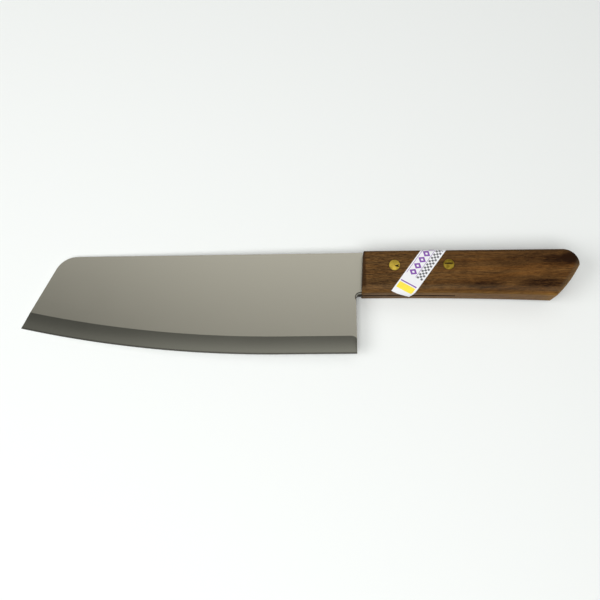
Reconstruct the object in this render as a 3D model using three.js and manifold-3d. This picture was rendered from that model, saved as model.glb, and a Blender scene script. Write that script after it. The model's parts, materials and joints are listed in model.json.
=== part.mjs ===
// A chef's knife of the thin stamped kind: a blade with a half tang, a sawn wooden handle, two brass rivets
// and a paper label. Sizes are in millimetres. In the knife's own frame X runs from the handle's front to the
// butt, Y = 0 is the spine with +Y away from the edge, and Z = 0 is the middle of the blade's thickness.
import * as THREE from "three";
import { mergeVertices } from "three/addons/utils/BufferGeometryUtils.js";
import Module from "manifold-3d";

const degrees = THREE.MathUtils.degToRad;

// Blade
const bladeLength = 197.4; // tip to the handle's front
const bladeDepth = 58.7; // spine to edge at the heel
const bladeThickness = 1.5;
const heelSetback = 3.6; // from the heel to the handle's front
const edgeFlat = 43; // straight part of the edge, from the heel
const bellyRadius = 700; // curved part of the edge, out to the tip
const noseAngle = degrees(62); // slope of the nose against the spine
const noseRadius = 14; // round from the nose into the spine

// Grinding: a hollow band left by a wheel, and a honed strip at the very edge
const grindWidth = 10.2; // from the edge to the upper line of the band
const wheelRadius = 150;
const honeWidth = 0.9;
const honeAngle = degrees(11); // each side against the middle plane

// Tang
const tangLength = 52.4; // from the handle's front
const tangDrop = 2.9; // upper edge of the tang below the spine
const tangHeight = 21.5;
const tangCorner = 2;
const notchRadius = 1.5; // relief between the heel and the tang

// Handle
const handleLength = 121.5;
const handleThickness = 18;
const handleDrop = 0.85; // upper side below the spine, at the front
const handleFall = 0.5; // further fall of the upper side towards the butt
const frontHeight = 24.5;
const frontSlant = 1.3; // the sawn front leans back towards the spine
const frontEase = 1.1; // round from the sawn front into the upper side and the underside
const cornerEase = 0.6; // rounds of the outline are larger than edgeRound by this
const gripFlare = 2.6; // growth of the underside towards the butt
const buttRound = 9.2; // round from the upper side into the butt
const buttSlant = 13.7; // the butt's lower corner is this far ahead of its rearmost point
const buttBulge = 64; // radius of the slanted butt face
const edgeRound = 2; // all long edges of the wood

// Rivets: each is a headed pin pressed into a headed tube
const rivetSpacing = 30.4;
const rivetMargin = 4; // from the rear rivet to the end of the tang
const rivetDrop = 9.75; // rivet line below the spine
const headRadius = 3.08;
const headThickness = 1.4;
const rimRound = 0.22; // outer edge of a head
const rimWidth = 0.48; // raised ring round a head's face
const headDish = 0.07; // a head's face below its ring
const tubeRadius = 2.1;
const pinRadius = 1.5;
const slitLength = 5;
const slitWidth = 0.85;
const slitShift = 0.6; // the slit in the rear head lies above its middle
const nickLength = 2.5; // wedge-shaped nick in the front head
const nickWidth = 1.1;
const nickShift = 0.1;
const nickDrop = 0.4; // the nick lies below the head's middle
const markDepth = 0.6; // depth of slit and nick

// Label
const labelLength = 38;
const labelWidth = 11.6;
const labelThickness = 0.12;
const labelAngle = degrees(54.5); // direction of the strip against the handle
const labelPlace = 31.1; // where the strip's middle line crosses the grip line
const labelGrip = 13.2; // grip line below the spine
const labelShift = 0.6; // middle of the strip beyond the grip line, along the strip
const peelAngle = degrees(65); // the lower end leaves the rounded edge at this turn

// Fits
const kerfClearance = 0.1; // tang in the saw cut, each face and the end
const holeClearance = 0.1; // rivet tube in tang and wood, head in its seat
const bodyClearance = 0.06; // pin in tube
const seatClearance = 0.1; // under a rivet head
const pinEndClearance = 0.6; // pin end above the bottom of the tube, tube end under the pin's head
const labelGap = 0.12; // glue between paper and wood

// Fineness of curved faces
const overrun = 0.5; // blank beyond the finished edge, ground away
const frontOverrun = 6; // wood beyond the finished front, planed away
const planeClearance = 0.05; // form of the front outside the faces that stay
const sweepSteps = 20;
const hollowSteps = 7;
const roundSteps = 4;
const turnSteps = 28;
const outlineSteps = 8;
const labelSteps = [36, 11];

// Places that follow from the sizes above
const halfBlade = bladeThickness / 2;
const halfHandle = handleThickness / 2;
const edgeStart = -heelSetback - edgeFlat;
const bellyCentre = new THREE.Vector2(edgeStart, bellyRadius - bladeDepth);
const tipTurn = Math.asin((edgeStart + bladeLength) / bellyRadius);
const tip = new THREE.Vector2(-bladeLength, bellyCentre.y - bellyRadius * Math.cos(tipTurn));
const noseDown = new THREE.Vector2(-Math.cos(noseAngle), -Math.sin(noseAngle));
const noseTop = new THREE.Vector2(tip.x - tip.y / Math.tan(noseAngle), 0);
const tangTop = -tangDrop;
const tangBottom = tangTop - tangHeight;
const rearRivet = tangLength - rivetMargin;
const frontRivet = rearRivet - rivetSpacing;
const rivetLine = -rivetDrop;
const frontCorner = edgeRound + cornerEase;
const handleTop = -handleDrop;
const handleBottom = handleTop - frontHeight;
const frontTop = new THREE.Vector2(frontSlant / 2, handleTop);
const frontBottom = new THREE.Vector2(-frontSlant / 2, handleBottom);
const roundCentre = new THREE.Vector2(handleLength - buttRound, handleTop - handleFall - buttRound);
const buttFoot = new THREE.Vector2(handleLength - buttSlant, handleBottom - gripFlare);

const wasm = await Module();
wasm.setup();

// Turns a closed geometry into a solid that can be cut.
function solid(geometry) {
  geometry.deleteAttribute("normal");
  geometry.deleteAttribute("uv");
  const merged = mergeVertices(geometry, 1e-4);
  return new wasm.Manifold(
    new wasm.Mesh({
      numProp: 3,
      vertProperties: merged.attributes.position.array,
      triVerts: new Uint32Array(merged.index.array),
    }),
  );
}

// Turns a solid back into a geometry.
function geometryOf(body) {
  const mesh = body.getMesh();
  const geometry = new THREE.BufferGeometry();
  geometry.setAttribute("position", new THREE.BufferAttribute(mesh.vertProperties, 3));
  geometry.setIndex(new THREE.BufferAttribute(mesh.triVerts, 1));
  geometry.computeVertexNormals();
  return geometry;
}

// Runs a shape's outline to a corner and rounds it towards the next point.
function roundTo(shape, corner, next, radius) {
  const back = shape.currentPoint.clone().sub(corner).normalize();
  const ahead = next.clone().sub(corner).normalize();
  const half = back.angleTo(ahead) / 2;
  const start = corner.clone().addScaledVector(back, radius / Math.tan(half));
  const end = corner.clone().addScaledVector(ahead, radius / Math.tan(half));
  const middle = back.clone().add(ahead).normalize();
  const centre = corner.clone().addScaledVector(middle, radius / Math.sin(half));
  const from = start.clone().sub(centre).angle();
  const to = end.clone().sub(centre).angle();
  shape.lineTo(start.x, start.y);
  shape.absarc(centre.x, centre.y, radius, from, to, back.cross(ahead) > 0);
}

// The line along the cutting edge, from beyond the tip to beyond the heel.
class EdgePath extends THREE.Curve {
  constructor(beyond) {
    super();
    this.curved = bellyRadius * tipTurn + beyond;
    this.straight = edgeFlat + beyond;
  }

  getPoint(t, target = new THREE.Vector3()) {
    const along = t * (this.curved + this.straight) - this.curved;
    const turn = Math.min(along, 0) / bellyRadius;
    const x = bellyCentre.x + bellyRadius * Math.sin(turn) + Math.max(along, 0);
    return target.set(x, bellyCentre.y - bellyRadius * Math.cos(turn), 0);
  }
}

// Section of what the wheel and the hone take off one side: x from the middle plane, y from the edge.
function grindSection(side) {
  const honeTop = new THREE.Vector2(honeWidth * Math.tan(honeAngle), honeWidth);
  const bandTop = new THREE.Vector2(halfBlade, grindWidth);
  const chord = bandTop.clone().sub(honeTop);
  const rise = Math.sqrt(wheelRadius ** 2 - chord.lengthSq() / 4);
  const outward = new THREE.Vector2(chord.y, -chord.x).normalize();
  const wheel = honeTop.clone().addScaledVector(chord, 0.5).addScaledVector(outward, rise);
  const from = honeTop.clone().sub(wheel).angle();
  const to = bandTop.clone().sub(wheel).angle();
  const clear = bladeThickness;
  const section = new THREE.Shape();
  section.moveTo(-side * overrun * 2 * Math.tan(honeAngle), -overrun * 2);
  section.lineTo(side * honeTop.x, honeTop.y);
  for (let step = 1; step <= hollowSteps; step++) {
    const angle = from + ((to - from) * step) / hollowSteps;
    const away = wheel.x + wheelRadius * Math.cos(angle);
    section.lineTo(side * away, wheel.y + wheelRadius * Math.sin(angle));
  }
  section.lineTo(side * (halfBlade + clear), grindWidth + clear);
  section.lineTo(side * (halfBlade + clear), -overrun * 2);
  section.closePath();
  return section;
}

function makeBlade() {
  const blankTip = tip.clone().addScaledVector(noseDown, overrun);
  const blankRadius = blankTip.distanceTo(bellyCentre);
  const blankEnd = blankTip.clone().sub(bellyCentre).angle();
  const outline = new THREE.Shape();
  outline.moveTo(-heelSetback, bellyCentre.y - blankRadius);
  outline.lineTo(edgeStart, bellyCentre.y - blankRadius);
  outline.absarc(bellyCentre.x, bellyCentre.y, blankRadius, -Math.PI / 2, blankEnd, true);
  const neckTop = new THREE.Vector2(frontTop.x - kerfClearance, 0);
  roundTo(outline, noseTop, neckTop, noseRadius);
  const shoulder = new THREE.Vector2(neckTop.x, tangTop);
  const tangEndTop = new THREE.Vector2(tangLength, tangTop);
  const tangEndBottom = new THREE.Vector2(tangLength, tangBottom);
  const notch = new THREE.Vector2(-heelSetback, tangBottom);
  outline.lineTo(neckTop.x, neckTop.y);
  outline.lineTo(shoulder.x, shoulder.y);
  roundTo(outline, tangEndTop, tangEndBottom, tangCorner);
  roundTo(outline, tangEndBottom, notch, tangCorner);
  roundTo(outline, notch, new THREE.Vector2(-heelSetback, -bladeDepth), notchRadius);
  outline.closePath();
  for (const place of [frontRivet, rearRivet]) {
    const hole = new THREE.Path();
    hole.absarc(place, rivetLine, tubeRadius + holeClearance, 0, 2 * Math.PI);
    outline.holes.push(hole);
  }
  const blank = new THREE.ExtrudeGeometry(outline, {
    depth: bladeThickness,
    bevelEnabled: false,
    curveSegments: sweepSteps,
  });
  blank.translate(0, 0, -halfBlade);
  let blade = solid(blank);
  for (const side of [1, -1]) {
    const path = new EdgePath(heelSetback);
    const wheel = new THREE.ExtrudeGeometry(grindSection(side), { steps: sweepSteps, extrudePath: path });
    blade = blade.subtract(solid(wheel));
  }
  return geometryOf(blade);
}

// Height of the handle's upper side at a place along it.
function upperSide(x) {
  const share = (x - frontTop.x) / (roundCentre.x - frontTop.x);
  return handleTop - handleFall * share;
}

// Height of the handle's underside at a place along it.
function underside(x) {
  const share = (x - frontBottom.x) / (buttFoot.x - frontBottom.x);
  return handleBottom - gripFlare * share ** 2;
}

// What is planed off the front: a block round the form that stays, whose upright edges are rounded.
function frontWaste() {
  const half = halfHandle + planeClearance;
  const form = new THREE.Shape();
  form.moveTo(2 * frontOverrun, -half);
  form.lineTo(2 * frontOverrun, half);
  roundTo(form, new THREE.Vector2(0, half), new THREE.Vector2(0, -half), edgeRound);
  roundTo(form, new THREE.Vector2(0, -half), new THREE.Vector2(2 * frontOverrun, -half), edgeRound);
  form.closePath();
  const height = frontHeight + 2 * planeClearance;
  const kept = new THREE.ExtrudeGeometry(form, {
    depth: height - 2 * frontEase,
    bevelThickness: frontEase,
    bevelSize: frontEase,
    bevelOffset: -frontEase,
    bevelSegments: roundSteps,
    curveSegments: roundSteps,
  });
  kept.translate(0, 0, frontEase - height / 2).rotateX(Math.PI / 2);
  kept.applyMatrix4(new THREE.Matrix4().makeShear(0, 0, frontSlant / frontHeight, 0, 0, 0));
  const block = new THREE.BoxGeometry(3 * frontOverrun, 2 * frontHeight, 2 * handleThickness);
  block.translate(-frontOverrun / 2, 0, 0);
  return solid(block).subtract(solid(kept)).translate(0, handleTop - frontHeight / 2, 0);
}

function makeHandle() {
  const buttPoint = new THREE.Vector2(handleLength, roundCentre.y);
  const blankTop = new THREE.Vector2(frontTop.x - frontOverrun, upperSide(frontTop.x - frontOverrun));
  const blankBottom = new THREE.Vector2(blankTop.x, handleBottom);
  const outline = new THREE.Shape();
  outline.moveTo(roundCentre.x, roundCentre.y + buttRound);
  roundTo(outline, blankTop, blankBottom, frontCorner);
  const gripMiddle = (frontBottom.x + buttFoot.x) / 2;
  roundTo(outline, blankBottom, new THREE.Vector2(gripMiddle, handleBottom), frontCorner);
  outline.lineTo(frontBottom.x, frontBottom.y);
  outline.quadraticCurveTo(gripMiddle, handleBottom, buttFoot.x, buttFoot.y);
  const chord = buttPoint.clone().sub(buttFoot);
  const inward = new THREE.Vector2(-chord.y, chord.x).normalize();
  const reach = Math.sqrt(buttBulge ** 2 - chord.lengthSq() / 4);
  const bulgeCentre = buttFoot.clone().addScaledVector(chord, 0.5).addScaledVector(inward, reach);
  const bulgeStart = buttFoot.clone().sub(bulgeCentre).angle();
  const bulgeEnd = buttPoint.clone().sub(bulgeCentre).angle();
  outline.absarc(bulgeCentre.x, bulgeCentre.y, buttBulge, bulgeStart, bulgeEnd);
  outline.absarc(roundCentre.x, roundCentre.y, buttRound, 0, Math.PI / 2);
  const wood = new THREE.ExtrudeGeometry(outline, {
    depth: handleThickness - 2 * edgeRound,
    bevelThickness: edgeRound,
    bevelSize: edgeRound,
    bevelOffset: -edgeRound,
    bevelSegments: roundSteps,
    curveSegments: outlineSteps,
  });
  wood.translate(0, 0, edgeRound - halfHandle);
  const kerfStart = -frontSlant;
  const kerfEnd = tangLength + kerfClearance;
  const kerfTall = 2 * (frontHeight + gripFlare);
  const kerf = new THREE.BoxGeometry(kerfEnd - kerfStart, kerfTall, bladeThickness + 2 * kerfClearance);
  kerf.translate((kerfStart + kerfEnd) / 2, handleTop - frontHeight / 2, 0);
  let handle = solid(wood).subtract(frontWaste()).subtract(solid(kerf));
  const seat = headRadius + holeClearance;
  const bore = tubeRadius + holeClearance;
  const floor = halfHandle - headThickness - seatClearance;
  const drill = [
    [0, -handleThickness],
    [seat, -handleThickness],
    [seat, -floor],
    [bore, -floor],
    [bore, floor],
    [seat, floor],
    [seat, handleThickness],
    [0, handleThickness],
  ];
  for (const place of [frontRivet, rearRivet]) {
    handle = handle.subtract(solid(turned(drill, place)));
  }
  return geometryOf(handle);
}

// A turned piece about a rivet's axis, from radius and height pairs.
function turned(profile, place) {
  const points = profile.map(([radius, height]) => new THREE.Vector2(radius, height));
  return new THREE.LatheGeometry(points, turnSteps).rotateX(Math.PI / 2).translate(place, rivetLine, 0);
}

// Face of a rivet head on one side of the handle: a rounded rim, a ring and a dished middle.
function headFace(side) {
  const points = [];
  for (let step = 0; step <= roundSteps; step++) {
    const angle = (Math.PI / 2) * (step / roundSteps);
    const radius = headRadius - rimRound * (1 - Math.cos(angle));
    points.push([radius, side * (halfHandle - rimRound * (1 - Math.sin(angle)))]);
  }
  points.push([headRadius - rimWidth, side * (halfHandle - headDish)], [0, side * (halfHandle - headDish)]);
  return points;
}

function makePin(place, mark) {
  const end = headThickness + pinEndClearance - halfHandle;
  const head = halfHandle - headThickness;
  const profile = [
    [0, end],
    [pinRadius, end],
    [pinRadius, head],
    [headRadius, head],
    ...headFace(1),
  ];
  mark.translate(place, rivetLine, halfHandle - headDish);
  return geometryOf(solid(turned(profile, place)).subtract(solid(mark)));
}

function makeTube(place) {
  const inside = headThickness - halfHandle;
  const top = halfHandle - headThickness - pinEndClearance;
  const bore = pinRadius + bodyClearance;
  const profile = [
    ...headFace(-1).reverse(),
    [headRadius, inside],
    [tubeRadius, inside],
    [tubeRadius, top],
    [bore, top],
    [bore, inside],
    [0, inside],
  ];
  return geometryOf(solid(turned(profile, place)));
}

// Cutter for the slit in the rear head.
function slit() {
  return new THREE.BoxGeometry(slitLength, slitWidth, 2 * markDepth).translate(0, slitShift, 0);
}

// Cutter for the wedge-shaped nick in the front head.
function nick() {
  const wedge = new THREE.Shape();
  wedge.moveTo(nickShift, -nickDrop);
  wedge.lineTo(nickShift + nickLength, -nickDrop - nickWidth / 2);
  wedge.lineTo(nickShift + nickLength, -nickDrop + nickWidth / 2);
  wedge.closePath();
  const cutter = new THREE.ExtrudeGeometry(wedge, { depth: 2 * markDepth, bevelEnabled: false });
  return cutter.translate(0, 0, -markDepth);
}

// Puts a point of the unrolled strip onto the handle: x along it, y up its face and round its edges.
function wrap(x, y, lift, target) {
  const upper = upperSide(x) - edgeRound;
  const lower = underside(x) + edgeRound;
  const above = y > (upper + lower) / 2;
  const rim = above ? upper : lower;
  const beyond = above ? Math.max(y - upper, 0) : Math.max(lower - y, 0);
  const turn = Math.min(beyond / edgeRound, above ? Math.PI / 2 : peelAngle);
  const past = beyond - turn * edgeRound;
  const out = Math.sin(turn) * (edgeRound + lift) + Math.cos(turn) * past;
  const high = Math.cos(turn) * (edgeRound + lift) - Math.sin(turn) * past;
  const flat = beyond > 0 ? rim : y;
  return target.set(x, above ? flat + out : flat - out, halfHandle - edgeRound + high);
}

function makeLabel() {
  const strip = new THREE.BoxGeometry(labelLength, labelWidth, labelThickness, ...labelSteps, 1);
  const places = strip.getAttribute("position");
  const point = new THREE.Vector3();
  for (let i = 0; i < places.count; i++) {
    const along = places.getX(i) + labelShift;
    const across = places.getY(i);
    const x = labelPlace + along * Math.cos(labelAngle) - across * Math.sin(labelAngle);
    const y = along * Math.sin(labelAngle) + across * Math.cos(labelAngle) - labelGrip;
    wrap(x, y, labelGap + labelThickness / 2 + places.getZ(i), point);
    places.setXYZ(i, point.x, point.y, point.z);
  }
  return geometryOf(solid(strip));
}

// Finishes
const steel = new THREE.MeshStandardMaterial({ color: 0x9b988a, roughness: 0.35, metalness: 1 });
const wood = new THREE.MeshStandardMaterial({ color: 0x5c3f21, roughness: 0.5, metalness: 0 });
const brass = new THREE.MeshStandardMaterial({ color: 0xb39b4a, roughness: 0.35, metalness: 1 });
const paper = new THREE.MeshStandardMaterial({ color: 0xe9e7df, roughness: 0.4, metalness: 0 });

const knife = new THREE.Group();

function add(name, geometry, finish) {
  const mesh = new THREE.Mesh(geometry, finish.clone());
  mesh.name = name;
  knife.add(mesh);
}

add("blade", makeBlade(), steel);
add("handle", makeHandle(), wood);
add("front_rivet_pin", makePin(frontRivet, nick()), brass);
add("front_rivet_tube", makeTube(frontRivet), brass);
add("rear_rivet_pin", makePin(rearRivet, slit()), brass);
add("rear_rivet_tube", makeTube(rearRivet), brass);
add("label", makeLabel(), paper);

// On its side, the knife rests on the nose, where the flat meets the ground band, and on the handle's front.
const noseContact = tip.x - (grindWidth / Math.sin(noseAngle + tipTurn)) * noseDown.x;
const handleContact = frontBottom.x + edgeRound;
const layAngle = Math.atan((halfHandle - halfBlade) / (handleContact - noseContact));
knife.rotation.y = -layAngle;
const group = new THREE.Group();
group.add(knife);
group.updateMatrixWorld(true);
const box = new THREE.Box3().setFromObject(group, true);
const middle = box.getCenter(new THREE.Vector3());
knife.position.set(-middle.x, -middle.y, -box.min.z);

export default group;
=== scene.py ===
"""A thin stamped chef's knife lying on its side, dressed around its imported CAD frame.

Sizes are in millimetres in the knife's own frame: X = 0 at the handle's front with +X towards the butt,
Y = 0 at the spine with +Y away from the edge, and Z = 0 in the middle of the blade's thickness. Finished
pieces are placed in the frame's metres, where the knife lies on its nose and on the front of its handle.
"""

import json
import logging
import math
from dataclasses import dataclass, field
from enum import Enum, IntEnum
from operator import attrgetter
from typing import Callable, Sequence, Union

import bmesh
import bpy
from bmesh.types import BMesh, BMVert
from bpy.types import ID, Material, Mesh, Node, NodeSocket, NodeTree, Object
from mathutils import Euler, Matrix, Vector
from mathutils.geometry import tessellate_polygon


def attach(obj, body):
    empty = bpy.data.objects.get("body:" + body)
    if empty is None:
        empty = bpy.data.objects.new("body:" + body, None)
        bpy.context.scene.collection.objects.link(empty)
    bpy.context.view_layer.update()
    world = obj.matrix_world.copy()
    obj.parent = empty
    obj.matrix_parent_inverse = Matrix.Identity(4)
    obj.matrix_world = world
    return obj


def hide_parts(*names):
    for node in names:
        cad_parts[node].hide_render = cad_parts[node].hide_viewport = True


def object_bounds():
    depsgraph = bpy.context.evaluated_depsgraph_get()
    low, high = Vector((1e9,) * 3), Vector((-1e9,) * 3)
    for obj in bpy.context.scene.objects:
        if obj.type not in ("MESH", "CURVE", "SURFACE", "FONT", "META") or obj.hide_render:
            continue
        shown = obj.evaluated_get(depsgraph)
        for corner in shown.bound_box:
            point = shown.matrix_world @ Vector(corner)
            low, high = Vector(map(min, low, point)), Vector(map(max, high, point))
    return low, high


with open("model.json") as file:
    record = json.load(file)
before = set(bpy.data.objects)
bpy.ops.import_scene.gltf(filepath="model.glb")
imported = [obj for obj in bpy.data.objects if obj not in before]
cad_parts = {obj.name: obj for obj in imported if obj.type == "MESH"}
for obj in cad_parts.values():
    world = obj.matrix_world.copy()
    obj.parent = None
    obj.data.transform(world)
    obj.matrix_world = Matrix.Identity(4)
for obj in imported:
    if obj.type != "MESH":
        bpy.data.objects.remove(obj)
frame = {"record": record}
cad_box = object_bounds()

log = logging.getLogger("chef_knife")
BODY = "root"
MM = 0.001
QUARTER = math.pi / 2

# Millimetres within which places count as one, points are merged and slivers dissolve.
NEAR = 1e-3
MERGE = 1e-4
SLIVER = 1e-5

Number = Union["Term", float]
Span = tuple[float, float]
Triple = tuple[float, float, float]
Point = Sequence[float]
Ring = list[BMVert]


class Slot(Enum):
    """Material slots of the record."""

    STEEL = "blade_steel"
    WOOD = "handle_wood"
    BRASS = "rivet_brass"
    PAPER = "label_paper"


class BladeZone(IntEnum):
    """Finishes of the blade, in the order of its steels."""

    FLAT = 0
    BAND = 1
    HONE = 2
    PAINTED_SHADE = 3
    ROLL = 4


def math_node(operation: str) -> Callable[..., "Term"]:
    """Make a method that adds one Math node.

    Args:
        operation: Name of the node's operation.

    Returns:
        The method, which takes the operands after the first.
    """
    def method(first: "Term", *others: Number) -> "Term":
        """Add the node."""
        inputs = dict(enumerate((first, *others)))
        return first.graph.number("ShaderNodeMath", inputs, operation=operation)

    return method


class Term:
    """One number in a node tree. Python's operators on it add Math nodes."""

    __add__ = __radd__ = math_node("ADD")
    __sub__ = math_node("SUBTRACT")
    __mul__ = __rmul__ = math_node("MULTIPLY")
    __truediv__ = math_node("DIVIDE")
    above = math_node("GREATER_THAN")
    below = math_node("LESS_THAN")
    low = math_node("MINIMUM")
    high = math_node("MAXIMUM")
    floor = math_node("FLOOR")
    fraction = math_node("FRACT")
    size = math_node("ABSOLUTE")
    root = math_node("SQRT")
    sin = math_node("SINE")
    cos = math_node("COSINE")
    arcsine = math_node("ARCSINE")

    def __init__(self, graph: "Graph", socket: NodeSocket) -> None:
        """Hold a socket of a graph."""
        self.graph = graph
        self.socket = socket

    def __rsub__(self, other: float) -> "Term":
        """Difference from a plain number."""
        return self * -1.0 + other

    def choose(self, yes: Number, no: Number) -> "Term":
        """Pick between two numbers by this share from zero to one."""
        return self * (yes - no) + no

    def clamp(self, lowest: Number, highest: Number) -> "Term":
        """This number, kept within two limits."""
        return self.high(lowest).low(highest)

    def ramp(self, start: float, end: float) -> "Term":
        """Rise smoothly from zero at start to one at end."""
        inputs = {"Value": self, "From Min": start, "From Max": end}
        return self.graph.number("ShaderNodeMapRange", inputs, interpolation_type="SMOOTHSTEP")

    def fade(self, start: float, end: float) -> "Term":
        """Fall smoothly from one at start to zero at end."""
        return 1.0 - self.ramp(start, end)


class Graph:
    """Adds nodes to one tree and joins them."""

    def __init__(self, tree: NodeTree) -> None:
        """Hold the tree."""
        self.tree = tree

    def feed(self, node: Node, inputs: dict) -> None:
        """Join or set a node's sockets.

        Args:
            node: The node.
            inputs: Socket names or places, with terms, sockets, colours or plain values for them.
        """
        for name, value in inputs.items():
            socket = node.inputs[name]
            if isinstance(value, Term):
                value = value.socket
            if isinstance(value, NodeSocket):
                self.tree.links.new(value, socket)
            elif socket.type == "RGBA":
                socket.default_value = (*value, 1.0)
            else:
                socket.default_value = value

    def add(self, kind: str, inputs: dict | None = None, **settings: object) -> Node:
        """Add a node.

        Args:
            kind: Type name of the node.
            inputs: What goes into its sockets.
            settings: Properties of the node.

        Returns:
            The new node.
        """
        node = self.tree.nodes.new(kind)
        for name, value in settings.items():
            setattr(node, name, value)
        self.feed(node, inputs or {})
        return node

    def term(self, socket: NodeSocket) -> Term:
        """Wrap a socket as a number."""
        return Term(self, socket)

    def number(self, kind: str, inputs: dict | None = None, **settings: object) -> Term:
        """Add a node and take its first result as a number."""
        return self.term(self.add(kind, inputs, **settings).outputs[0])

    def split(self, vector: NodeSocket) -> tuple[Term, ...]:
        """Take a vector apart."""
        node = self.add("ShaderNodeSeparateXYZ", {0: vector})
        return tuple(self.term(out) for out in node.outputs)

    def join(self, x: Number, y: Number, z: Number) -> NodeSocket:
        """Put a vector together."""
        return self.add("ShaderNodeCombineXYZ", {0: x, 1: y, 2: z}).outputs[0]


@dataclass(frozen=True)
class Noise:
    """A noise pattern, with its repeats per millimetre along each axis."""

    stretch: Triple
    detail: float
    roughness: float = 0.5


class ShaderGraph(Graph):
    """A material's nodes, with the patterns that the finishes share."""

    def noise(self, place: NodeSocket, pattern: Noise) -> Term:
        """Lay out a noise.

        Args:
            place: Coordinates in millimetres.
            pattern: The noise's pattern.

        Returns:
            A number around zero.
        """
        scaled = self.add("ShaderNodeVectorMath", {0: place, 1: pattern.stretch}, operation="MULTIPLY")
        return self.number("ShaderNodeTexNoise", {
            "Vector": scaled.outputs[0],
            "Scale": 1.0,
            "Detail": pattern.detail,
            "Roughness": pattern.roughness,
        }) - 0.5

    def mix(self, share: Number, first: object, second: object, blend: str = "MIX") -> NodeSocket:
        """Blend a share of a second colour into a first one."""
        inputs = {0: share, 6: first, 7: second}
        return self.add("ShaderNodeMix", inputs, data_type="RGBA", blend_type=blend).outputs[2]

    def colours(self, value: Number, stops: dict[float, Triple]) -> NodeSocket:
        """Turn a number into a colour.

        Args:
            value: The number.
            stops: Places from zero to one with their colours.

        Returns:
            The colour.
        """
        node = self.add("ShaderNodeValToRGB", {0: value})
        elements = node.color_ramp.elements
        while len(elements) < len(stops):
            elements.new(0.5)
        for element, (place, colour) in zip(elements, stops.items()):
            element.position = place
            element.color = (*colour, 1.0)
        return node.outputs[0]

    def bump(self, height: Number, depth: float, strength: float) -> NodeSocket:
        """Turn a height into a normal, with the depth in millimetres."""
        inputs = {"Height": height, "Distance": depth * MM, "Strength": strength}
        return self.add("ShaderNodeBump", inputs).outputs[0]


@dataclass(frozen=True)
class Lay:
    """Where the knife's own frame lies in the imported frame."""

    turn: float
    origin: Vector

    @classmethod
    def from_frame(cls, blade: "Blade", handle: "Handle") -> "Lay":
        """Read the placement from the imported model: its box, and the slope of the blade's upper flat.

        Args:
            blade: The blade, for its thickness.
            handle: The handle, whose butt is the rearmost place.

        Returns:
            The placement.
        """
        flat = next(m for m in frame["record"]["mounts"] if m["name"] == "upper_flat")
        normal = Vector(flat["axis"]).normalized()
        turn = math.atan2(-normal.x, normal.z)
        wall = handle.half - handle.edge_round
        x = cad_box[1][0] - (handle.length * math.cos(turn) + wall * math.sin(turn)) * MM
        height = normal.dot(Vector(flat["pos_m"])) - blade.thickness / 2 * MM
        return cls(turn, Vector((x, cad_box[1][1], (height - normal.x * x) / normal.z)))

    @property
    def matrix(self) -> Matrix:
        """Millimetres of the knife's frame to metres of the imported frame."""
        turned = Matrix.Rotation(-self.turn, 4, "Y")
        return Matrix.Translation(self.origin) @ turned @ Matrix.Scale(MM, 4)

    def coordinates(self, graph: ShaderGraph) -> NodeSocket:
        """Millimetres of the knife's frame inside a material.

        Args:
            graph: The material's nodes.

        Returns:
            The coordinates.
        """
        back = self.matrix.inverted()
        return graph.add("ShaderNodeMapping", {
            "Vector": graph.add("ShaderNodeTexCoord").outputs["Object"],
            "Location": back.to_translation(),
            "Rotation": back.to_euler(),
            "Scale": (1 / MM,) * 3,
        }).outputs[0]


@dataclass(frozen=True)
class Finish:
    """A procedural material. Each kind of finish says what goes into its shader's sockets."""

    name: str

    def sockets(self, graph: ShaderGraph, lay: Lay) -> dict[str, object]:
        """What goes into the shader's sockets."""
        raise NotImplementedError

    def material(self, lay: Lay) -> Material:
        """Make the material.

        Args:
            lay: Placement of the knife.

        Returns:
            The material.
        """
        material = bpy.data.materials.new(self.name)
        material.use_nodes = True
        graph = ShaderGraph(material.node_tree)
        shader = next(n for n in graph.tree.nodes if n.type == "BSDF_PRINCIPLED")
        graph.feed(shader, self.sockets(graph, lay))
        return material


@dataclass(frozen=True)
class PlainFinish(Finish):
    """An even colour without a pattern."""

    colour: Triple
    roughness: float
    specular: float

    def sockets(self, graph: ShaderGraph, lay: Lay) -> dict[str, object]:
        """What goes into the shader's sockets."""
        return {"Base Color": self.colour, "Roughness": self.roughness, "Specular IOR Level": self.specular}


@dataclass(frozen=True)
class SteelFinish(Finish):
    """Stainless steel with fine tool lines in one direction."""

    colour: Triple
    roughness: float
    line_stretch: Triple
    line_depth: float
    line_detail: float = 3.0
    line_roughness: float = 0.65
    line_strength: float = 0.5
    cloud: Noise = Noise((0.035, 0.05, 0.05), 2.0)
    roughness_spread: float = 0.06
    tone_spread: float = 0.2
    colour_spread: float = 0.1

    def sockets(self, graph: ShaderGraph, lay: Lay) -> dict[str, object]:
        """What goes into the shader's sockets.

        Args:
            graph: The material's nodes.
            lay: Placement of the knife.

        Returns:
            Socket names with their values.
        """
        place = lay.coordinates(graph)
        lines = graph.noise(place, Noise(self.line_stretch, self.line_detail, self.line_roughness))
        uneven = lines + graph.noise(place, self.cloud)
        dull = [c * (1.0 - self.colour_spread) for c in self.colour]
        bright = [min(c * (1.0 + self.colour_spread), 1.0) for c in self.colour]
        return {
            "Base Color": graph.mix(uneven * self.tone_spread + 0.5, dull, bright),
            "Metallic": 1.0,
            "Roughness": uneven * self.roughness_spread + self.roughness,
            "Normal": graph.bump(lines, self.line_depth, self.line_strength),
        }


@dataclass(frozen=True)
class Patch:
    """A soft oval of darker or lighter wood; one is painted shade along the lower round."""

    x: float
    y: float
    reach_x: float
    reach_y: float
    tone: float

    def tint(self, x: Term, y: Term) -> Term:
        """How much lighter the wood is at a place."""
        across, up = (x - self.x) / self.reach_x, (y - self.y) / self.reach_y
        return (across * across + up * up).fade(0.0, 1.0) * self.tone


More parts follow.
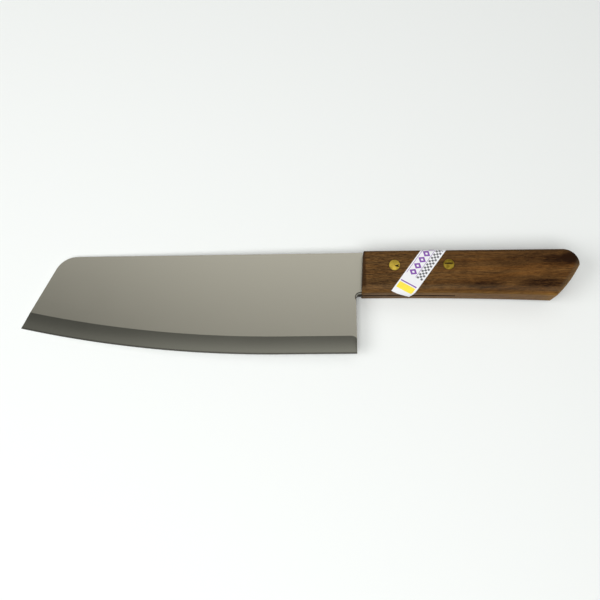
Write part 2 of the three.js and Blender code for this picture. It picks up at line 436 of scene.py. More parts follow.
@dataclass(frozen=True)
class WoodFinish(Finish):
    """Brown hardwood with its grain along the handle, lightly oiled, with painted light, sheen and shade on
    its edges.
    """

    name: str = "brown_handle_wood"
    dark: Triple = (0.018, 0.0078, 0.0036)
    middle: Triple = (0.096, 0.050, 0.0175)
    light: Triple = (0.185, 0.099, 0.033)
    tone_stops: Triple = (0.04, 0.5, 0.9)
    sway: Noise = Noise((0.02, 0.03, 0.03), 1.0)
    sway_up: float = 5.0
    sway_across: float = 3.0
    sway_patches: float = 4.0
    figure: Noise = Noise((0.012, 0.2, 0.2), 3.0, 0.6)
    figure_share: float = 0.75
    streaks: Noise = Noise((0.035, 0.9, 0.9), 3.0, 0.6)
    streak_share: float = 0.5
    lines: Noise = Noise((0.22, 2.2, 2.2), 2.0, 0.65)
    fibres: Noise = Noise((0.7, 5.0, 5.0), 2.0, 0.7)
    fibre_share: float = 0.7
    crisp_along: Span = (15.0, 60.0)
    crisp_front: float = 1.5
    patches: tuple[Patch, ...] = (
        Patch(119.5, -6.5, 11.0, 5.5, -0.5),
        Patch(110.0, -8.5, 13.0, 4.5, -0.22),
        Patch(97.0, -6.0, 24.0, 3.5, -0.03),
        Patch(101.0, -20.9, 20.0, 3.0, -0.44),
        Patch(68.0, -20.8, 15.0, 2.4, -0.3),
        Patch(68.0, -10.3, 16.0, 3.2, 0.16),
        Patch(92.0, -14.6, 14.0, 3.6, 0.19),
        Patch(92.0, -7.5, 32.0, 6.5, -0.155),
        Patch(8.0, -14.0, 20.0, 12.0, -0.07),
        # Painted shade: darkens the lower round, which the light from the front lights too much.
        Patch(82.0, -23.6, 46.0, 2.2, -0.16),
        Patch(113.0, -14.2, 9.0, 2.4, 0.1),
    )
    red: Triple = (1.0, 0.82, 0.62)
    warmth: Noise = Noise((0.018, 0.4, 0.4), 2.0)
    warm_range: Span = (-0.1, 0.15)
    warm_along: Span = (15.0, 80.0)
    warm_share: float = 0.5
    # Colour of the pores, which also paints the shade inside the saw cut.
    pore_and_kerf_shade: Triple = (0.014, 0.006, 0.0025)
    pores: Noise = Noise((0.3, 2.6, 2.6), 1.0)
    pore_range: Span = (0.12, 0.22)
    pore_share: float = 0.5
    # Darker at the front end, over the front face and its round.
    front_darkening: float = 0.66
    front_darkening_depth: Span = (1.0, 2.5)
    front_darkening_above: Span = (-23.5, -20.5)
    butt_along: Span = (98.0, 110.0)
    # Painted light: a lighter colour on the lower side, most at the butt, where light falls on the handle.
    painted_lit_side: Triple = (0.34, 0.178, 0.035)
    lit_side_share: float = 0.27
    lit_side_butt: float = 0.42
    lit_side_front: float = 0.4
    lit_side_along: Span = (5.0, 40.0)
    lit_side_height: Span = (6.9, 8.97)
    lit_side_below: Span = (-10.0, -5.0)
    lit_side_grain_contrast: float = 1.5
    lit_side_grain_share: float = 0.75
    lit_side_grain_limits: Span = (0.2, 1.2)
    # Painted sheen: a pale grey along the rounded rim of the underside and the butt, standing in for the
    # reflection of the bright floor. The sizes after it draw the rim it follows.
    painted_sheen: Triple = (0.26, 0.21, 0.14)
    sheen_share: float = 0.08
    sheen_butt: float = 0.07
    sheen_from: Span = (1.0, 2.6)
    sheen_to: Span = (3.2, 5.4)
    underside: float = -25.35
    underside_curve: float = 0.000223
    butt_centre: Span = (65.12, 19.74)
    butt_reach: float = 65.7
    butt_rim_along: Span = (85.0, 95.0)
    butt_rim_skip: float = 40.0
    # Painted shade: a darker strip along the upper rim, which faces away from the light.
    top_shade: Span = (-3.4, -2.0)
    top_shade_along: Span = (20.0, 70.0)
    top_shade_share: float = 0.42
    # Painted shade inside the saw cut.
    kerf_half: Span = (0.95, 1.45)
    kerf_end: float = 52.6
    kerf_shade_share: float = 0.95
    roughness: float = 0.55
    fibre_roughness: float = 0.18
    pore_roughness: float = 0.15
    specular: float = 0.07
    relief: float = 0.05
    relief_strength: float = 0.7
    fibre_relief: float = 0.5
    line_relief: float = 0.4
    pore_relief: float = 0.9

    def sockets(self, graph: ShaderGraph, lay: Lay) -> dict[str, object]:
        """What goes into the shader's sockets.

        Args:
            graph: The material's nodes.
            lay: Placement of the knife.

        Returns:
            Socket names with their values.
        """
        place = lay.coordinates(graph)
        x, y, z = graph.split(place)
        sway = graph.noise(place, self.sway)
        grain = graph.join(x, y + sway * self.sway_up, z + sway * self.sway_across)
        streaks, lines, fibres = (graph.noise(grain, n) for n in (self.streaks, self.lines, self.fibres))
        crisp = x.ramp(*self.crisp_along).choose(1.0, self.crisp_front)
        tone = graph.noise(grain, self.figure) * self.figure_share + streaks * self.streak_share + 0.5
        tone = tone + (lines + fibres * self.fibre_share) * crisp
        wavy = y + sway * self.sway_patches
        tone = sum((patch.tint(x, wavy) for patch in self.patches), tone)
        wood = graph.colours(tone, dict(zip(self.tone_stops, (self.dark, self.middle, self.light))))
        warm = graph.noise(grain, self.warmth).ramp(*self.warm_range) + x.ramp(*self.warm_along)
        wood = graph.mix(warm * self.warm_share, wood, self.red, "MULTIPLY")
        pores = graph.noise(grain, self.pores).ramp(*self.pore_range)
        wood = graph.mix(pores * self.pore_share, wood, self.pore_and_kerf_shade)
        wood = self.add_painted_light(graph, wood, (x, y, z), (streaks + lines) * self.lit_side_grain_contrast + self.lit_side_grain_share)
        height = fibres * self.fibre_relief + lines * self.line_relief - pores * self.pore_relief
        return {
            "Base Color": wood,
            "Roughness": fibres * self.fibre_roughness + pores * self.pore_roughness + self.roughness,
            "Specular IOR Level": self.specular,
            "Normal": graph.bump(height, self.relief, self.relief_strength),
        }

    def add_painted_light(self, graph: ShaderGraph, wood: NodeSocket, place: Sequence[Term], patchy: Term) -> NodeSocket:
        """Darken the front end, and add the painted light on the lower side, the painted sheen along the
        rim and the painted shade along the top and inside the saw cut.

        Args:
            graph: The material's nodes.
            wood: Colour of the fresh wood.
            place: Coordinates in millimetres.
            patchy: How strongly the painted light shows on the sides, varied by the grain.

        Returns:
            Colour of the wood with the painted light and shade.
        """
        x, y, z = place
        # Darker at the front end, over the front face and its round.
        ends = x.fade(*self.front_darkening_depth) * y.ramp(*self.front_darkening_above)
        wood = graph.mix(ends * self.front_darkening, wood, self.dark)
        butt = x.ramp(*self.butt_along)
        # Painted light on the lower side, stronger at the butt and weaker at the front, varied by the
        # grain.
        sides = z.size().fade(*self.lit_side_height) * (1.0 - ends) * y.fade(*self.lit_side_below)
        sides = sides * (butt * self.lit_side_butt + self.lit_side_share)
        sides = sides * x.ramp(*self.lit_side_along).choose(1.0, self.lit_side_front)
        wood = graph.mix(sides * patchy.clamp(*self.lit_side_grain_limits), wood, self.painted_lit_side)
        above = y - self.underside + x * x * self.underside_curve
        right, over = x - self.butt_centre[0], y - self.butt_centre[1]
        inward = self.butt_reach - (right * right + over * over).root()
        rim = above.low(inward + x.fade(*self.butt_rim_along) * self.butt_rim_skip)
        # Painted sheen along the rim of the underside and the butt.
        painted_sheen = rim.ramp(*self.sheen_from) * rim.fade(*self.sheen_to) * (1.0 - ends)
        wood = graph.mix(painted_sheen * (butt * self.sheen_butt + self.sheen_share), wood, self.painted_sheen)
        # Painted shade along the upper rim.
        top = y.ramp(*self.top_shade) * x.ramp(*self.top_shade_along)
        wood = graph.mix(top * self.top_shade_share, wood, self.dark)
        # Painted shade: the inside of the saw cut darkened with the pore colour.
        kerf = z.size().fade(*self.kerf_half) * x.below(self.kerf_end)
        return graph.mix(kerf * self.kerf_shade_share, wood, self.pore_and_kerf_shade)


@dataclass(frozen=True)
class BrassFinish(Finish):
    """Brass ground flush with the wood and dulled by handling, dark and not metallic below its face: down
    its sides and in the slit and the nick.
    """

    name: str = "flush_rivet_brass"
    colour: Triple = (0.94, 0.69, 0.105)
    tarnish: Triple = (0.36, 0.25, 0.029)
    dark_below_face: Triple = (0.02, 0.011, 0.003)
    face_height: Span = (8.55, 8.9)
    duller_along: Span = (24.0, 42.0)
    duller_share: float = 0.75
    stain: Noise = Noise((0.5, 0.5, 0.5), 3.0)
    stain_range: Span = (-0.08, 0.2)
    stain_share: float = 0.35
    scuffs: Noise = Noise((1.2, 7.0, 3.0), 4.0, 0.7)
    scuff_depth: float = 0.02
    scuff_strength: float = 0.6
    roughness: float = 0.36
    scuff_roughness: float = 0.3
    stain_roughness: float = 0.12
    specular: float = 0.1

    def sockets(self, graph: ShaderGraph, lay: Lay) -> dict[str, object]:
        """What goes into the shader's sockets.

        Args:
            graph: The material's nodes.
            lay: Placement of the knife.

        Returns:
            Socket names with their values.
        """
        place = lay.coordinates(graph)
        along, _, height = graph.split(place)
        scuffs = graph.noise(place, self.scuffs)
        stain = graph.noise(place, self.stain).ramp(*self.stain_range)
        # Dark and not metallic below the face: in the slit, the nick and down the sides.
        at_face = height.size().ramp(*self.face_height)
        dulled = stain * self.stain_share + along.ramp(*self.duller_along) * self.duller_share
        patchy = graph.mix(dulled.low(1.0), self.colour, self.tarnish)
        return {
            "Base Color": graph.mix(at_face, self.dark_below_face, patchy),
            "Metallic": at_face,
            "Roughness": scuffs * self.scuff_roughness + stain * self.stain_roughness + self.roughness,
            "Specular IOR Level": self.specular,
            "Normal": graph.bump(scuffs, self.scuff_depth, self.scuff_strength),
        }


@dataclass(frozen=True)
class PaperFinish(Finish):
    """Coated label paper with a plain printed pattern along the strip."""

    name: str = "printed_label_paper"
    attribute: str = "strip"
    paper: Triple = (0.82, 0.83, 0.85)
    violet: Triple = (0.19, 0.04, 0.36)
    yellow: Triple = (0.93, 0.75, 0.04)
    grey: Triple = (0.05, 0.05, 0.06)
    grey_share: float = 0.95
    blur: float = 0.04
    print_along: Span = (-5.5, 16.5)
    pitch: float = 4.4
    lozenge_row: float = 2.0
    lozenge_half: Span = (2.05, 2.45)
    hollow_half: Span = (0.75, 0.9)
    hollow_blur: float = 0.1
    upper_rule: Span = (4.75, 5.0)
    lower_rule: Span = (-0.95, -0.7)
    check: float = 1.2
    check_rows: int = 3
    check_start: float = -4.9
    bar_along: Span = (-11.1, -10.4)
    block_along: Span = (-15.6, -11.7)
    block_across: Span = (-4.6, 5.0)
    grain: Noise = Noise((2.5, 2.5, 2.5), 4.0)
    grain_tone: float = 0.9
    grain_share: float = 0.05
    grain_contrast: float = 0.2
    grain_depth: float = 0.01
    grain_strength: float = 0.4
    roughness: float = 0.42
    roughness_spread: float = 0.15

    def sockets(self, graph: ShaderGraph, lay: Lay) -> dict[str, object]:
        """What goes into the shader's sockets, by places on the flat strip in millimetres.

        Args:
            graph: The material's nodes.
            lay: Placement of the knife, which the pattern doesn't need.

        Returns:
            Socket names with their values.
        """
        strip = graph.add("ShaderNodeAttribute", attribute_name=self.attribute).outputs["Vector"]
        along, across, _ = graph.split(strip)

        def within(value: Term, low: float, high: float) -> Term:
            """One between two limits, with thin soft borders."""
            rise = value.ramp(low - self.blur, low + self.blur)
            return rise * value.fade(high - self.blur, high + self.blur)

        def repeat(value: Term, start: float, step: float) -> Term:
            """Place within a repeat, from minus a half to a half."""
            return ((value - start) / step).fraction() - 0.5

        def lozenge(half: Span, blur: float) -> Term:
            """Draw a row of lozenges.

            Args:
                half: Half of a lozenge's length and of its width.
                blur: Share of its size over which its border is soft.

            Returns:
                One inside the lozenges, zero outside.
            """
            step = repeat(along, self.print_along[0], self.pitch) * self.pitch
            reach = step.size() / half[0] + (across - self.lozenge_row).size() / half[1]
            return reach.fade(1.0 - blur, 1.0 + blur)

        printed = within(along, *self.print_along)
        rules = within(across, *self.upper_rule).high(within(across, *self.lower_rule))
        rings = lozenge(self.lozenge_half, self.blur) * (1.0 - lozenge(self.hollow_half, self.hollow_blur))
        block = within(across, *self.block_across)
        bar = within(along, *self.bar_along) * block
        check, low = self.check, self.check_start
        checks = repeat(along, self.print_along[0], check * 2) * repeat(across, low, check * 2)
        checked = within(across, low, low + check * self.check_rows) * printed
        checks = checks.above(0.0) * checked
        colour = graph.mix(within(along, *self.block_along) * block, self.paper, self.yellow)
        colour = graph.mix((rings.high(rules) * printed).high(bar), colour, self.violet)
        colour = graph.mix(checks * self.grey_share, colour, self.grey)
        grain = graph.noise(strip, self.grain)
        dusty = [c * self.grain_tone for c in self.paper]
        return {
            "Base Color": graph.mix(grain * self.grain_contrast + self.grain_share, colour, dusty),
            "Roughness": grain * self.roughness_spread + self.roughness,
            "Normal": graph.bump(grain, self.grain_depth, self.grain_strength),
        }


class Outline:
    """A flat outline that is drawn point by point."""

    def __init__(self, start: Point) -> None:
        """Start at a point."""
        self.points: list[Vector] = [Vector(start)]

    def line(self, *points: Point) -> None:
        """Run straight through points."""
        self.points.extend(Vector(p) for p in points)

    def arc(self, centre: Point, radius: float, start: float, end: float, steps: int) -> None:
        """Run along an arc.

        Args:
            centre: Middle of the circle.
            radius: Its radius.
            start: First angle.
            end: Last angle.
            steps: Number of chords.
        """
        for step in range(steps + 1):
            angle = start + (end - start) * step / steps
            point = Vector(centre) + radius * Vector((math.cos(angle), math.sin(angle)))
            if (point - self.points[-1]).length > NEAR:
                self.points.append(point)

    def curve(self, control: Point, end: Point, steps: int) -> None:
        """Run along a curve with one control point.

        Args:
            control: The control point.
            end: Where the curve ends.
            steps: Number of chords.
        """
        start, control, end = self.points[-1].copy(), Vector(control), Vector(end)
        for step in range(1, steps + 1):
            t = step / steps
            self.points.append((1 - t) ** 2 * start + 2 * t * (1 - t) * control + t ** 2 * end)

    def round(self, corner: Point, ahead: Point, radius: float, steps: int) -> None:
        """Run to a corner and round it towards the next point.

        Args:
            corner: The sharp corner.
            ahead: A point on the next side.
            radius: Radius of the round.
            steps: Number of chords.
        """
        corner = Vector(corner)
        back = (self.points[-1] - corner).normalized()
        on = (Vector(ahead) - corner).normalized()
        half = back.angle(on) / 2
        centre = corner + (back + on).normalized() * radius / math.sin(half)
        first, last = (corner + way * radius / math.tan(half) - centre for way in (back, on))
        start = math.atan2(first.y, first.x)
        sweep = math.atan2(first.x * last.y - first.y * last.x, first.dot(last))
        self.arc(centre, radius, start, start + sweep, steps)

    def inset(self, distances: Sequence[float]) -> list[Vector]:
        """The outline moved inwards, for one that runs anticlockwise.

        Args:
            distances: How far in, point by point.

        Returns:
            As many points as the outline has.
        """
        moved = []
        ahead = self.points[1:] + self.points[:1]
        for place, (point, distance) in enumerate(zip(self.points, distances)):
            sides = []
            for a, b in ((self.points[place - 1], point), (point, ahead[place])):
                run = (b - a).normalized()
                sides.append(Vector((-run.y, run.x)))
            moved.append(point + (sides[0] + sides[1]) * distance / (1 + sides[0].dot(sides[1])))
        return moved


def oval(middle: Point, half_width: float, half_height: float, steps: int) -> list[Vector]:
    """Points round an oval, anticlockwise.

    Args:
        middle: Middle of the oval.
        half_width: Reach along X.
        half_height: Reach along Y.
        steps: Number of points.

    Returns:
        The points.
    """
    turns = [2 * math.pi * step / steps for step in range(steps)]
    return [Vector(middle) + Vector((half_width * math.cos(t), half_height * math.sin(t))) for t in turns]


def add_object(name: str, data: ID) -> Object:
    """Make an object of some data and link it to the scene.

    Args:
        name: Name of the object.
        data: Its mesh, light or camera.

    Returns:
        The object.
    """
    made = bpy.data.objects.new(name, data)
    bpy.context.scene.collection.objects.link(made)
    return made


def settle(name: str, mesh: Mesh, materials: Sequence[Material], lay: Lay, slot: Slot,
           *nodes: str) -> None:
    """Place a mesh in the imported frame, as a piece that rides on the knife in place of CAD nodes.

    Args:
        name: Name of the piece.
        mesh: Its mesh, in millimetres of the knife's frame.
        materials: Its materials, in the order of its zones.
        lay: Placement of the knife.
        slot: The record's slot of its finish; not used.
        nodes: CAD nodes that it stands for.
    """
    mesh.transform(lay.matrix)
    for material in materials:
        mesh.materials.append(material)
    piece = add_object(name, mesh)
    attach(piece, BODY)
    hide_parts(*nodes)
    log.info("%s: %d faces for %s", piece.name, len(piece.data.polygons), ", ".join(nodes))


def shade(bm: BMesh, sharp_angle: float) -> None:
    """Shade smoothly, apart from edges over an angle.

    Args:
        bm: The mesh.
        sharp_angle: Angle between faces over which an edge is sharp.
    """
    for face in bm.faces:
        face.smooth = True
    for edge in bm.edges:
        edge.smooth = not (edge.is_manifold and edge.calc_face_angle(0.0) > sharp_angle)


def from_bmesh(bm: BMesh, name: str) -> Mesh:
    """Turn a bmesh into a mesh.

    Args:
        bm: The bmesh, which is freed.
        name: Name of the mesh.

    Returns:
        The mesh.
    """
    mesh = bpy.data.meshes.new(name)
    bm.to_mesh(mesh)
    bm.free()
    return mesh


def cleaned(mesh: Mesh, name: str, sharp_angle: float) -> Mesh:
    """Merge points that meet, turn the faces outwards and shade them.

    Args:
        mesh: The closed mesh.
        name: Name of the new mesh.
        sharp_angle: Angle between faces over which an edge is sharp.

    Returns:
        The new mesh.
    """
    bm = bmesh.new()
    bm.from_mesh(mesh)
    bmesh.ops.remove_doubles(bm, verts=bm.verts, dist=MERGE)
    bmesh.ops.recalc_face_normals(bm, faces=bm.faces)
    shade(bm, sharp_angle)
    return from_bmesh(bm, name)


def evaluated_mesh(work: Object) -> Mesh:
    """Turn an object's modifiers into a plain mesh and drop the object.

    Args:
        work: The object with its modifiers.

    Returns:
        The plain mesh.
    """
    graph = bpy.context.evaluated_depsgraph_get()
    graph.update()
    mesh = bpy.data.meshes.new_from_object(work.evaluated_get(graph))
    work.modifiers.clear()
    bpy.data.objects.remove(work)
    return mesh


def cut(mesh: Mesh, *cutters: Mesh) -> Mesh:
    """Cut closed meshes out of a closed mesh.

    Args:
        mesh: What is cut.
        cutters: What is taken away.

    Returns:
        What is left.
    """
    work = add_object("work", mesh)
    tools = [add_object("tool", cutter) for cutter in cutters]
    for tool in tools:
        step = work.modifiers.new("cut", "BOOLEAN")
        step.operation = "DIFFERENCE"
        step.solver = "EXACT"
        step.object = tool
    result = evaluated_mesh(work)
    for tool in tools:
        bpy.data.objects.remove(tool)
    return result


def raised(bm: BMesh, points: Sequence[Vector], z: float) -> Ring:
    """Add flat points to a mesh at a height."""
    return [bm.verts.new((p.x, p.y, z)) for p in points]


def bridge(bm: BMesh, one: Ring, two: Ring) -> None:
    """Join two closed rings of as many points with faces."""
    for corners in zip(one, one[1:] + one[:1], two[1:] + two[:1], two):
        bm.faces.new(corners)


def closed(bm: BMesh, rings: Sequence[Ring], name: str) -> Mesh:
    """Join rings of points in order and close both ends.

    Args:
        bm: The bmesh, which is freed.
        rings: The rings, from the lowest to the highest.
        name: Name of the mesh.

    Returns:
        The closed mesh.
    """
    bm.faces.new(rings[-1])
    bm.faces.new(rings[0][::-1])
    for low, high in zip(rings, rings[1:]):
        bridge(bm, low, high)
    bmesh.ops.recalc_face_normals(bm, faces=bm.faces)
    return from_bmesh(bm, name)


def prism(points: Sequence[Vector], low: float, high: float, name: str) -> Mesh:
    """Close an anticlockwise outline between two heights."""
    bm = bmesh.new()
    return closed(bm, [raised(bm, points, z) for z in (low, high)], name)


def slab(ahead: float, behind: float, half_height: float, half_thickness: float, name: str) -> Mesh:
    """Make a block between two places along X, with its middle on the X axis."""
    corners = (ahead, -1), (behind, -1), (behind, 1), (ahead, 1)
    return prism([Vector((x, y * half_height)) for x, y in corners], -half_thickness, half_thickness, name)


def rounded_prism(shape: Outline, half: float, lower: Sequence[float], upper: Sequence[float], steps: int,
                  name: str, flat_rim: float = 0.2) -> Mesh:
    """Close an anticlockwise outline between two heights, with rounded rims.

    Args:
        shape: The outline.
        half: Half of the height.
        lower: Radius of the lower rim, point by point.
        upper: Radius of the upper rim, point by point.
        steps: Chords round a rim.
        name: Name of the mesh.
        flat_rim: Width of the narrow flat faces inside each rim.

    Returns:
        The closed mesh.
    """
    bm = bmesh.new()

    def ring(radii: Sequence[float], step: int, side: float) -> Ring:
        """Add the points of one ring, on the rim's round or on the flat past its last chord.

        Args:
            radii: Radius of the rim, point by point.
            step: How many chords round the rim.
            side: One for the upper rim, minus one for the lower.

        Returns:
            The ring.
        """
        angle = QUARTER * min(step, steps) / steps
        more = flat_rim if step > steps else 0.0
        points = shape.inset([r * (1 - math.cos(angle)) + more for r in radii])
        heights = [side * (half - r * (1 - math.sin(angle))) for r in radii]
        return [bm.verts.new((p.x, p.y, z)) for p, z in zip(points, heights)]

    rings = [ring(lower, step, -1.0) for step in reversed(range(steps + 2))]
    rings += [ring(upper, step, 1.0) for step in range(steps + 2)]
    return closed(bm, rings, name)


class NodeTool:
    """A Geometry Nodes tree with named inputs, run once to make a plain mesh."""

    def __init__(self, name: str) -> None:
        """Start an empty tree.

        Args:
            name: Name of the tree.
        """
        self.tree = bpy.data.node_groups.new(name, "GeometryNodeTree")
        self.graph = Graph(self.tree)
        self.values: dict[str, object] = {}
        for way in ("INPUT", "OUTPUT"):
            self.tree.interface.new_socket("Geometry", in_out=way, socket_type="NodeSocketGeometry")
        self.source = self.tree.nodes.new("NodeGroupInput")
        self.target = self.tree.nodes.new("NodeGroupOutput")

    def value(self, name: str, kind: str, value: object) -> NodeSocket:
        """Add a named input.

        Args:
            name: Name of the input.
            kind: Type name of its socket.
            value: Its value, set on the modifier.

        Returns:
            The input's socket.
        """
        socket = self.tree.interface.new_socket(name, in_out="INPUT", socket_type=kind)
        self.values[socket.identifier] = value
        return self.source.outputs[socket.identifier]

    def count(self, name: str, value: int) -> NodeSocket:
        """Add a named count."""
        return self.value(name, "NodeSocketInt", value)

    def sizes(self, owner: object, *fields: str) -> list[Term]:
        """Add a size for each of an object's fields, and name it after the field.

        Args:
            owner: The object.
            fields: Names of its fields, with a dot before a coordinate.

        Returns:
            The sizes as numbers.
        """
        made = []
        for name in fields:
            title = name.replace("_", " ").replace(".", " ").title()
            socket = self.value(title, "NodeSocketFloat", float(attrgetter(name)(owner)))
            made.append(self.graph.term(socket))
        return made

    def grid(self, columns: int, rows: int) -> tuple:
        """Lay a grid whose rows follow the points of the mesh that goes in.

        Args:
            columns: How many points each row has.
            rows: How many rows there are.

        Returns:
            The grid's geometry, each point's column, and the row's point as three numbers.
        """
        graph = self.graph
        inputs = {"Vertices X": self.count("Columns", columns), "Vertices Y": self.count("Rows", rows)}
        grid = graph.add("GeometryNodeMeshGrid", inputs).outputs["Mesh"]
        index = graph.number("GeometryNodeInputIndex")
        per_column = graph.term(inputs["Vertices Y"])
        column = (index / per_column).floor()
        sample = graph.add("GeometryNodeSampleIndex", {
            "Geometry": self.source.outputs[0],
            "Value": graph.add("GeometryNodeInputPosition").outputs[0],
            "Index": index - column * per_column,
        }, data_type="FLOAT_VECTOR", domain="POINT")
        return grid, column, graph.split(sample.outputs[0])

    def moved(self, geometry: NodeSocket, x: Number, y: Number, z: Number) -> NodeSocket:
        """Move the points of a geometry to new places."""
        inputs = {"Geometry": geometry, "Position": self.graph.join(x, y, z)}
        return self.graph.add("GeometryNodeSetPosition", inputs).outputs[0]

    def run(self, geometry: NodeSocket, base: Mesh, material: Material) -> Mesh:
        """End the tree in Realize Instances and Set Material, and run it on a mesh.

        Args:
            geometry: What the tree makes.
            base: The mesh that goes in.
            material: Material of what comes out.

        Returns:
            The plain mesh that comes out.
        """
        dress = self.value("Material", "NodeSocketMaterial", material)
        real = self.graph.add("GeometryNodeRealizeInstances", {0: geometry}).outputs[0]
        dressed = self.graph.add("GeometryNodeSetMaterial", {"Geometry": real, "Material": dress})
        self.graph.feed(self.target, {0: dressed.outputs[0]})
        work = add_object("work", base)
        step = work.modifiers.new("nodes", "NODES")
        step.node_group = self.tree
        for identifier, value in self.values.items():
            step[identifier] = value
        return evaluated_mesh(work)


def polyline(points: Sequence[Point], name: str) -> Mesh:
    """A mesh of flat points joined by edges, in order.

    Args:
        points: Places of the points.
        name: Name of the mesh.

    Returns:
        The mesh.
    """
    mesh = bpy.data.meshes.new(name)
    mesh.from_pydata([(*p, 0.0) for p in points], [(i, i + 1) for i in range(len(points) - 1)], [])
    return mesh


@dataclass
class Blade:
    """The stamped sheet: flats, hollow ground band, honed edge, notch and half tang."""

    rivets: Sequence[Vector]
    length: float = 197.38
    depth: float = 58.7
    thickness: float = 1.5
    heel: float = -3.6
    edge_flat: float = 43.0
    belly_radius: float = 700.0
    nose_angle: float = math.radians(62.0)
    nose_radius: float = 14.0
    nose_steps: int = 26
    grind_width: float = 10.2
    wheel_radius: float = 150.0
    hone_width: float = 0.9
    hone_angle: float = math.radians(11.0)
    heel_ease: float = 3.4
    heel_fall: float = 0.25
    tang_length: float = 52.4
    tang_drop: float = 2.9
    tang_height: float = 21.5
    tang_corner: float = 2.0
    tang_steps: int = 6
    shoulder: float = 0.55
    notch_radius: float = 1.5
    notch_steps: int = 8
    notch_drop: float = 1.35
    notch_lead: float = 1.2
    notch_roll: Span = (0.45, 2.37)
    roll_radius: float = 1.4
    roll_steps: int = 6
    edge_break: float = 0.12
    edge_break_over: float = math.radians(60.0)
    sharp_angle: float = math.radians(3.5)
    hole_radius: float = 2.2
    hole_steps: int = 32
    belly_steps: int = 96
    flat_steps: int = 40
    hollow_steps: int = 10
    steels: tuple[SteelFinish, ...] = (
        SteelFinish("satin_flat_steel", (0.62, 0.605, 0.522), 0.23, (0.05, 9.0, 9.0), 0.004),
        SteelFinish("hollow_ground_steel", (0.545, 0.547, 0.475), 0.12, (9.0, 0.25, 0.25), 0.002),
        SteelFinish("honed_edge_steel", (0.6, 0.6, 0.53), 0.16, (7.0, 0.6, 0.6), 0.004),
        # Painted shade: a near-black steel for the tang inside the saw cut and for the dark steps and lip
        # of the notch's roll.
        SteelFinish("painted_shade_steel", (0.1, 0.09, 0.08), 0.5, (0.4, 4.0, 4.0), 0.01),
        SteelFinish("rolled_notch_steel", (0.6, 0.6, 0.53), 0.2, (0.6, 0.6, 0.6), 0.002),
    )

    @property
    def edge_start(self) -> float:
        """Where the straight part of the edge ends and the belly starts."""
        return self.heel - self.edge_flat

    @property
    def tip(self) -> Vector:
        """The blade's tip."""
        rise = self.belly_radius - math.sqrt(self.belly_radius ** 2 - (self.length + self.edge_start) ** 2)
        return Vector((-self.length, rise - self.depth))

    @property
    def tang_ends(self) -> Span:
        """Heights of the tang's lower and upper side."""
        return -self.tang_drop - self.tang_height, -self.tang_drop

    @property
    def notch_centre(self) -> Vector:
        """Middle of the round in the notch between heel and handle."""
        bottom = self.tang_ends[0] - self.notch_drop
        return Vector((self.heel + self.notch_radius, bottom - self.notch_radius))

    @property
    def columns(self) -> int:
        """How many sections the ground band has along the edge."""
        return self.belly_steps + self.flat_steps + 1

    def section(self) -> list[Span]:
        """Draw the ground edge's section, from the edge up to the flat.

        Returns:
            Half thickness and height pairs.
        """
        hone_top = Vector((self.hone_width * math.tan(self.hone_angle), self.hone_width))
        band_top = Vector((self.thickness / 2, self.grind_width))
        chord = band_top - hone_top
        rise = math.sqrt(self.wheel_radius ** 2 - chord.length_squared / 4)
        wheel = (hone_top + band_top) / 2 + Vector((chord.y, -chord.x)).normalized() * rise
        points = [(0.0, 0.0), tuple(hone_top)]
        start, end = (math.atan2(p.y - wheel.y, wheel.x - p.x) for p in (hone_top, band_top))
        for step in range(1, self.hollow_steps + 1):
            angle = start + (end - start) * step / self.hollow_steps
            x = wheel.x - self.wheel_radius * math.cos(angle)
            points.append((x, wheel.y + self.wheel_radius * math.sin(angle)))
        return points

    def ground_band(self, steel: Material) -> Mesh:
        """Sweep the ground section along the edge, on both sides of the sheet.

        Args:
            steel: The band's material.

        Returns:
            Two grids of points: first the upper side, then the lower side.
        """
        section = self.section()
        tool = NodeTool("ground_band")
        radius, depth, start, heel, tip_x, tip_y = tool.sizes(
            self, "belly_radius", "depth", "edge_start", "heel", "tip.x", "tip.y"
        )
        nose, hone, ease, fall, belly_steps, flat_steps = tool.sizes(
            self, "nose_angle", "hone_width", "heel_ease", "heel_fall", "belly_steps", "flat_steps"
        )
        grid, column, (half, height, _) = tool.grid(self.columns, len(section))
        centre_y = radius - depth
        to_tip_x, to_tip_y = tip_x - start, tip_y - centre_y
        inner = radius - height
        back = to_tip_x * nose.cos() + to_tip_y * nose.sin()
        along = back * -1.0 - (back * back - (radius * radius - inner * inner)).root()
        nose_x = tip_x + along * nose.cos()
        nose_turn = ((start - nose_x) / inner).arcsine()
        turn = nose_turn * (1.0 - (column / belly_steps).low(1.0))
        left = 1.0 - ((column - belly_steps) / flat_steps).high(0.0)
        x = start - inner * turn.sin() + (heel - start) * (1.0 - left * left)
        near = ((x - heel + ease) / ease).clamp(0.0, 1.0)
        drop = (1.0 - (1.0 - near * near).high(0.0).root()) * fall * (height - hone).high(0.0)
        y = centre_y - inner * turn.cos() - drop
        sides = [tool.moved(grid, x, y, half * side) for side in (1.0, -1.0)]
        both = tool.graph.add("GeometryNodeJoinGeometry")
        for side in reversed(sides):
            tool.graph.feed(both, {0: side})
        return tool.run(both.outputs[0], polyline(section, "edge_section"), steel)

    def roll(self, point: Vector) -> Vector:
        """How far the upper rim is rolled in at a point of the outline.

        Args:
            point: A point of the outline above the band.

        Returns:
            The way from the wall to the flat, which is nothing away from the notch.
        """
        way = point - self.notch_centre
        if way.length > 2 * self.notch_radius or way.y < -NEAR:
            return Vector((0.0, 0.0))
        share = min(1.0, math.atan2(way.y, -way.x) / QUARTER)
        width = self.notch_roll[0] + (self.notch_roll[1] - self.notch_roll[0]) * share
        return (way.normalized() if way.x < 0 else Vector((0.0, 1.0))) * width

